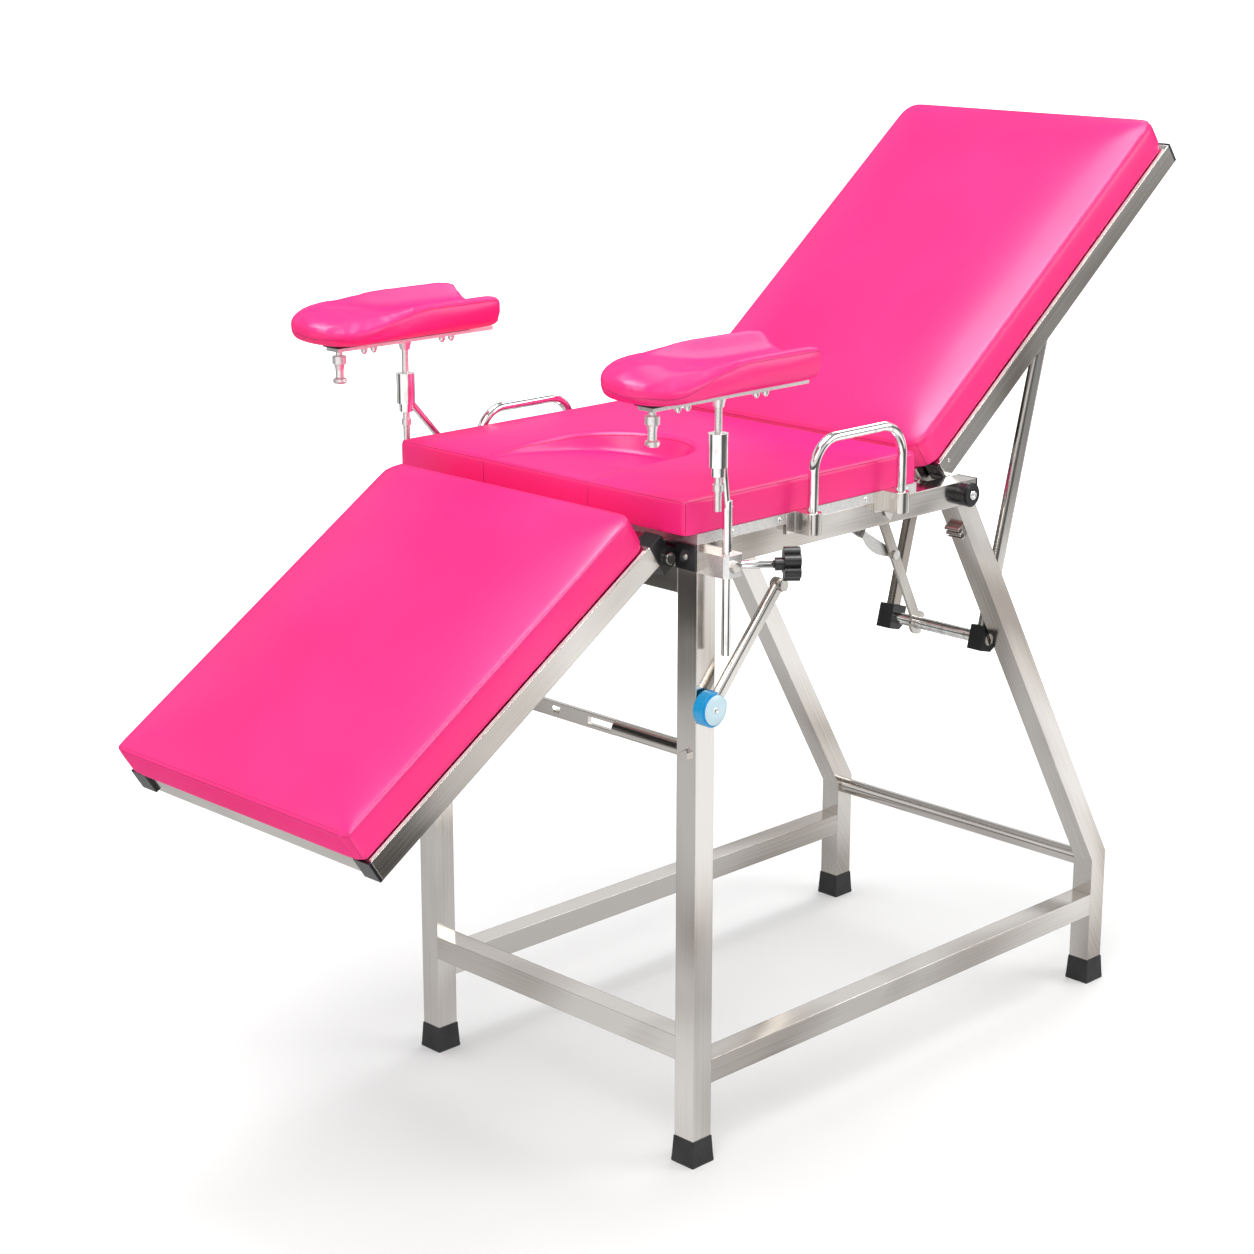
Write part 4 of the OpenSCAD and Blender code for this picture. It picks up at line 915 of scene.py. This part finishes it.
def soft_step(mat, value, start, end, low=0.0, high=1.0):
    """Numbers from low to high while value goes from start to end."""
    return add(mat, "MapRange", {"Value": value, "From Min": start, "From Max": end,
                                 "To Min": low, "To Max": high},
               interpolation_type="SMOOTHSTEP").outputs["Result"]


# Level directions: to the right of the photo and towards its camera.
TO_RIGHT, TO_CAMERA = (0.711, -0.703, 0), (-0.703, -0.711, 0)
# Brightness over the degrees to the right of the camera, in three zones.
BESIDE = [(-110, 0.6), (-30, 0.9), (40, 0.7), (110, 0.62), (180, 0.6)]
AROUND = [(-180, 0.7), (-110, 0.6), (-80, 0.64), (-68, 0.64), (-60, 0.12), (-38, 0.12),
          (-30, 1.2), (20, 1.2), (29, 0.1), (56, 0.1), (66, 1.15), (110, 1.15), (180, 0.7)]
FURTHER = [(-160, 0.25), (-130, 0.1), (-124, 0.8), (-104, 0.8), (-98, 0.12), (-72, 0.12),
           (-60, 1.4), (26, 1.1), (38, 0.1), (70, 0.12), (104, 0.36), (116, 1.1), (134, 1.1),
           (142, 0.1), (170, 0.25)]


def sector(mat, place, stops):
    """Numbers over the direction round the table. Stops are (degrees, number)."""
    right = measure(mat, "DOT_PRODUCT", place, TO_RIGHT)
    front = measure(mat, "DOT_PRODUCT", place, TO_CAMERA)
    turn = number(mat, "ARCTAN2", right, front)
    share = number(mat, "MULTIPLY_ADD", turn, 0.5 / math.pi, 0.5)
    return number_ramp(mat, share, *[(0.5 + degrees / 360, value) for degrees, value in stops])


def studio_floor():
    """A wide matt sheet, white to the camera and zoned to reflections."""
    bm = bmesh.new()
    bmesh.ops.create_grid(bm, x_segments=1, y_segments=1, size=60)
    mesh = bpy.data.meshes.new("studio_floor")
    bm.to_mesh(mesh)
    bm.free()
    floor = bpy.data.objects.new("studio_floor", mesh)
    scene.collection.objects.link(floor)
    mat, surface = new_material("matt_studio_floor")
    ray = add(mat, "LightPath").outputs
    place = add(mat, "TexCoord").outputs["Object"]
    away = measure(mat, "LENGTH", place)
    white = soft_step(mat, away, 0.5, 3.0, low=0.14)
    # The further zone starts outside a rectangle that is nearer on some sides.
    right_front = vector(mat, "MULTIPLY", place, (0.75, 1, 0))
    left_back = vector(mat, "MULTIPLY", place, (-1.12, -0.7, 0))
    outer = vector(mat, "MAXIMUM", right_front, left_back)
    parts = add(mat, "SeparateXYZ", {0: outer}).outputs
    square = number(mat, "MAXIMUM", parts["X"], parts["Y"])
    cloud = add(mat, "TexNoise", {"Vector": place, "Scale": 2.6, "Detail": 1.0}).outputs["Fac"]
    wander = number(mat, "ADD", square, spread(mat, cloud, -0.5, 0.5))
    far = soft_step(mat, wander, 1.95, 2.2)
    step_out = soft_step(mat, away, 0.6, 1.1)
    near_zones = add(mat, "Mix", {"Factor": step_out, 2: sector(mat, place, BESIDE),
                                  3: sector(mat, place, AROUND)}).outputs[0]
    mixed = add(mat, "Mix", {"Factor": far, 2: near_zones,
                             3: sector(mat, place, FURTHER)}).outputs[0]
    shown = number(mat, "MULTIPLY", ray["Is Camera Ray"], white)
    glow = number(mat, "MULTIPLY_ADD", ray["Is Glossy Ray"], mixed, shown)
    mat.node_tree.links.new(glow, surface.inputs["Emission Strength"])
    surface.inputs["Emission Color"].default_value = linear("#FFFFFF")
    paper = add(mat, "Mix", {"Factor": ray["Is Glossy Ray"], 6: linear("#E9E9E9"),
                             7: linear("#000000")}, data_type="RGBA")
    mat.node_tree.links.new(paper.outputs[2], surface.inputs["Base Color"])
    surface.inputs["Roughness"].default_value = 0.9
    surface.inputs["Specular IOR Level"].default_value = 0.1
    floor.data.materials.append(mat)


def lamp(name, place, target, size, watts, colour="#FFFFFF"):
    """A round softbox at a place, aimed at its target."""
    light = bpy.data.lights.new(name, "AREA")
    light.shape, light.size, light.energy = "DISK", size, watts
    light.color = linear(colour)[:3]
    holder = bpy.data.objects.new(name, light)
    scene.collection.objects.link(holder)
    holder.location = place
    aim = Vector(target) - Vector(place)
    holder.rotation_euler = aim.to_track_quat("-Z", "Y").to_euler()


studio_floor()
lamp("key_lamp", (-2.2, -1.6, 3.4), (0, 0, 0.7), 2.4, 64, "#FFFDFA")
lamp("side_lamp", (2.4, -2.6, 2.0), (0, 0, 0.7), 2.2, 34)
lamp("over_lamp", (-0.35, 0.3, 3.3), (0, 0, 0.8), 1.3, 26)
lamp("back_lamp", (3.0, 0.9, 3.4), (0, 0, 0.7), 2.0, 32)

world = bpy.data.worlds.new("studio_world")
scene.world = world
world.use_nodes = True
world.node_tree.nodes.clear()
ray = add(world, "LightPath").outputs
seen = number(world, "MAXIMUM", ray["Is Camera Ray"], ray["Is Transmission Ray"])
height = add(world, "SeparateXYZ", {0: add(world, "TexCoord").outputs["Generated"]}).outputs["Z"]
dome = number_ramp(world, height, (0.0, 0.1), (0.12, 0.1), (0.18, 0.85), (0.55, 0.85),
                   (0.62, 0.25), (0.74, 0.25), (0.84, 0.5), (0.915, 0.5), (0.94, 10.0), (1.0, 10.0))
soft = add(world, "Background", {"Color": linear("#FFFFFF"), "Strength": 0.68})
white = add(world, "Background", {"Color": linear("#FFFFFF"), "Strength": 1.0})
mirrored = add(world, "Background", {"Color": linear("#FFFFFF"), "Strength": dome})
lit = add(world, "MixShader", {0: ray["Is Glossy Ray"], 1: soft.outputs[0],
                               2: mirrored.outputs[0]})
both = add(world, "MixShader", {0: seen, 1: lit.outputs[0], 2: white.outputs[0]})
add(world, "OutputWorld", {"Surface": both.outputs[0]})

# %% [markdown]
# ## Camera
# The view was solved from the straight edges of the frame in the photograph:
# 45 degrees to the left of the long side, 15.6 degrees above level.

# %% Camera
AZIMUTH, ELEVATION = -44.646, 15.553
camera = bpy.data.objects.new("photo_camera", bpy.data.cameras.new("photo_camera"))
scene.collection.objects.link(camera)
camera.data.sensor_fit = "HORIZONTAL"
camera.data.sensor_width = 36
camera.data.lens = 75.54
camera.location = (-2.4286, -2.3468, 1.5480)
camera.rotation_euler = (math.radians(90 - ELEVATION), 0, math.radians(AZIMUTH))
scene.camera = camera
scene.view_settings.view_transform = "Standard"
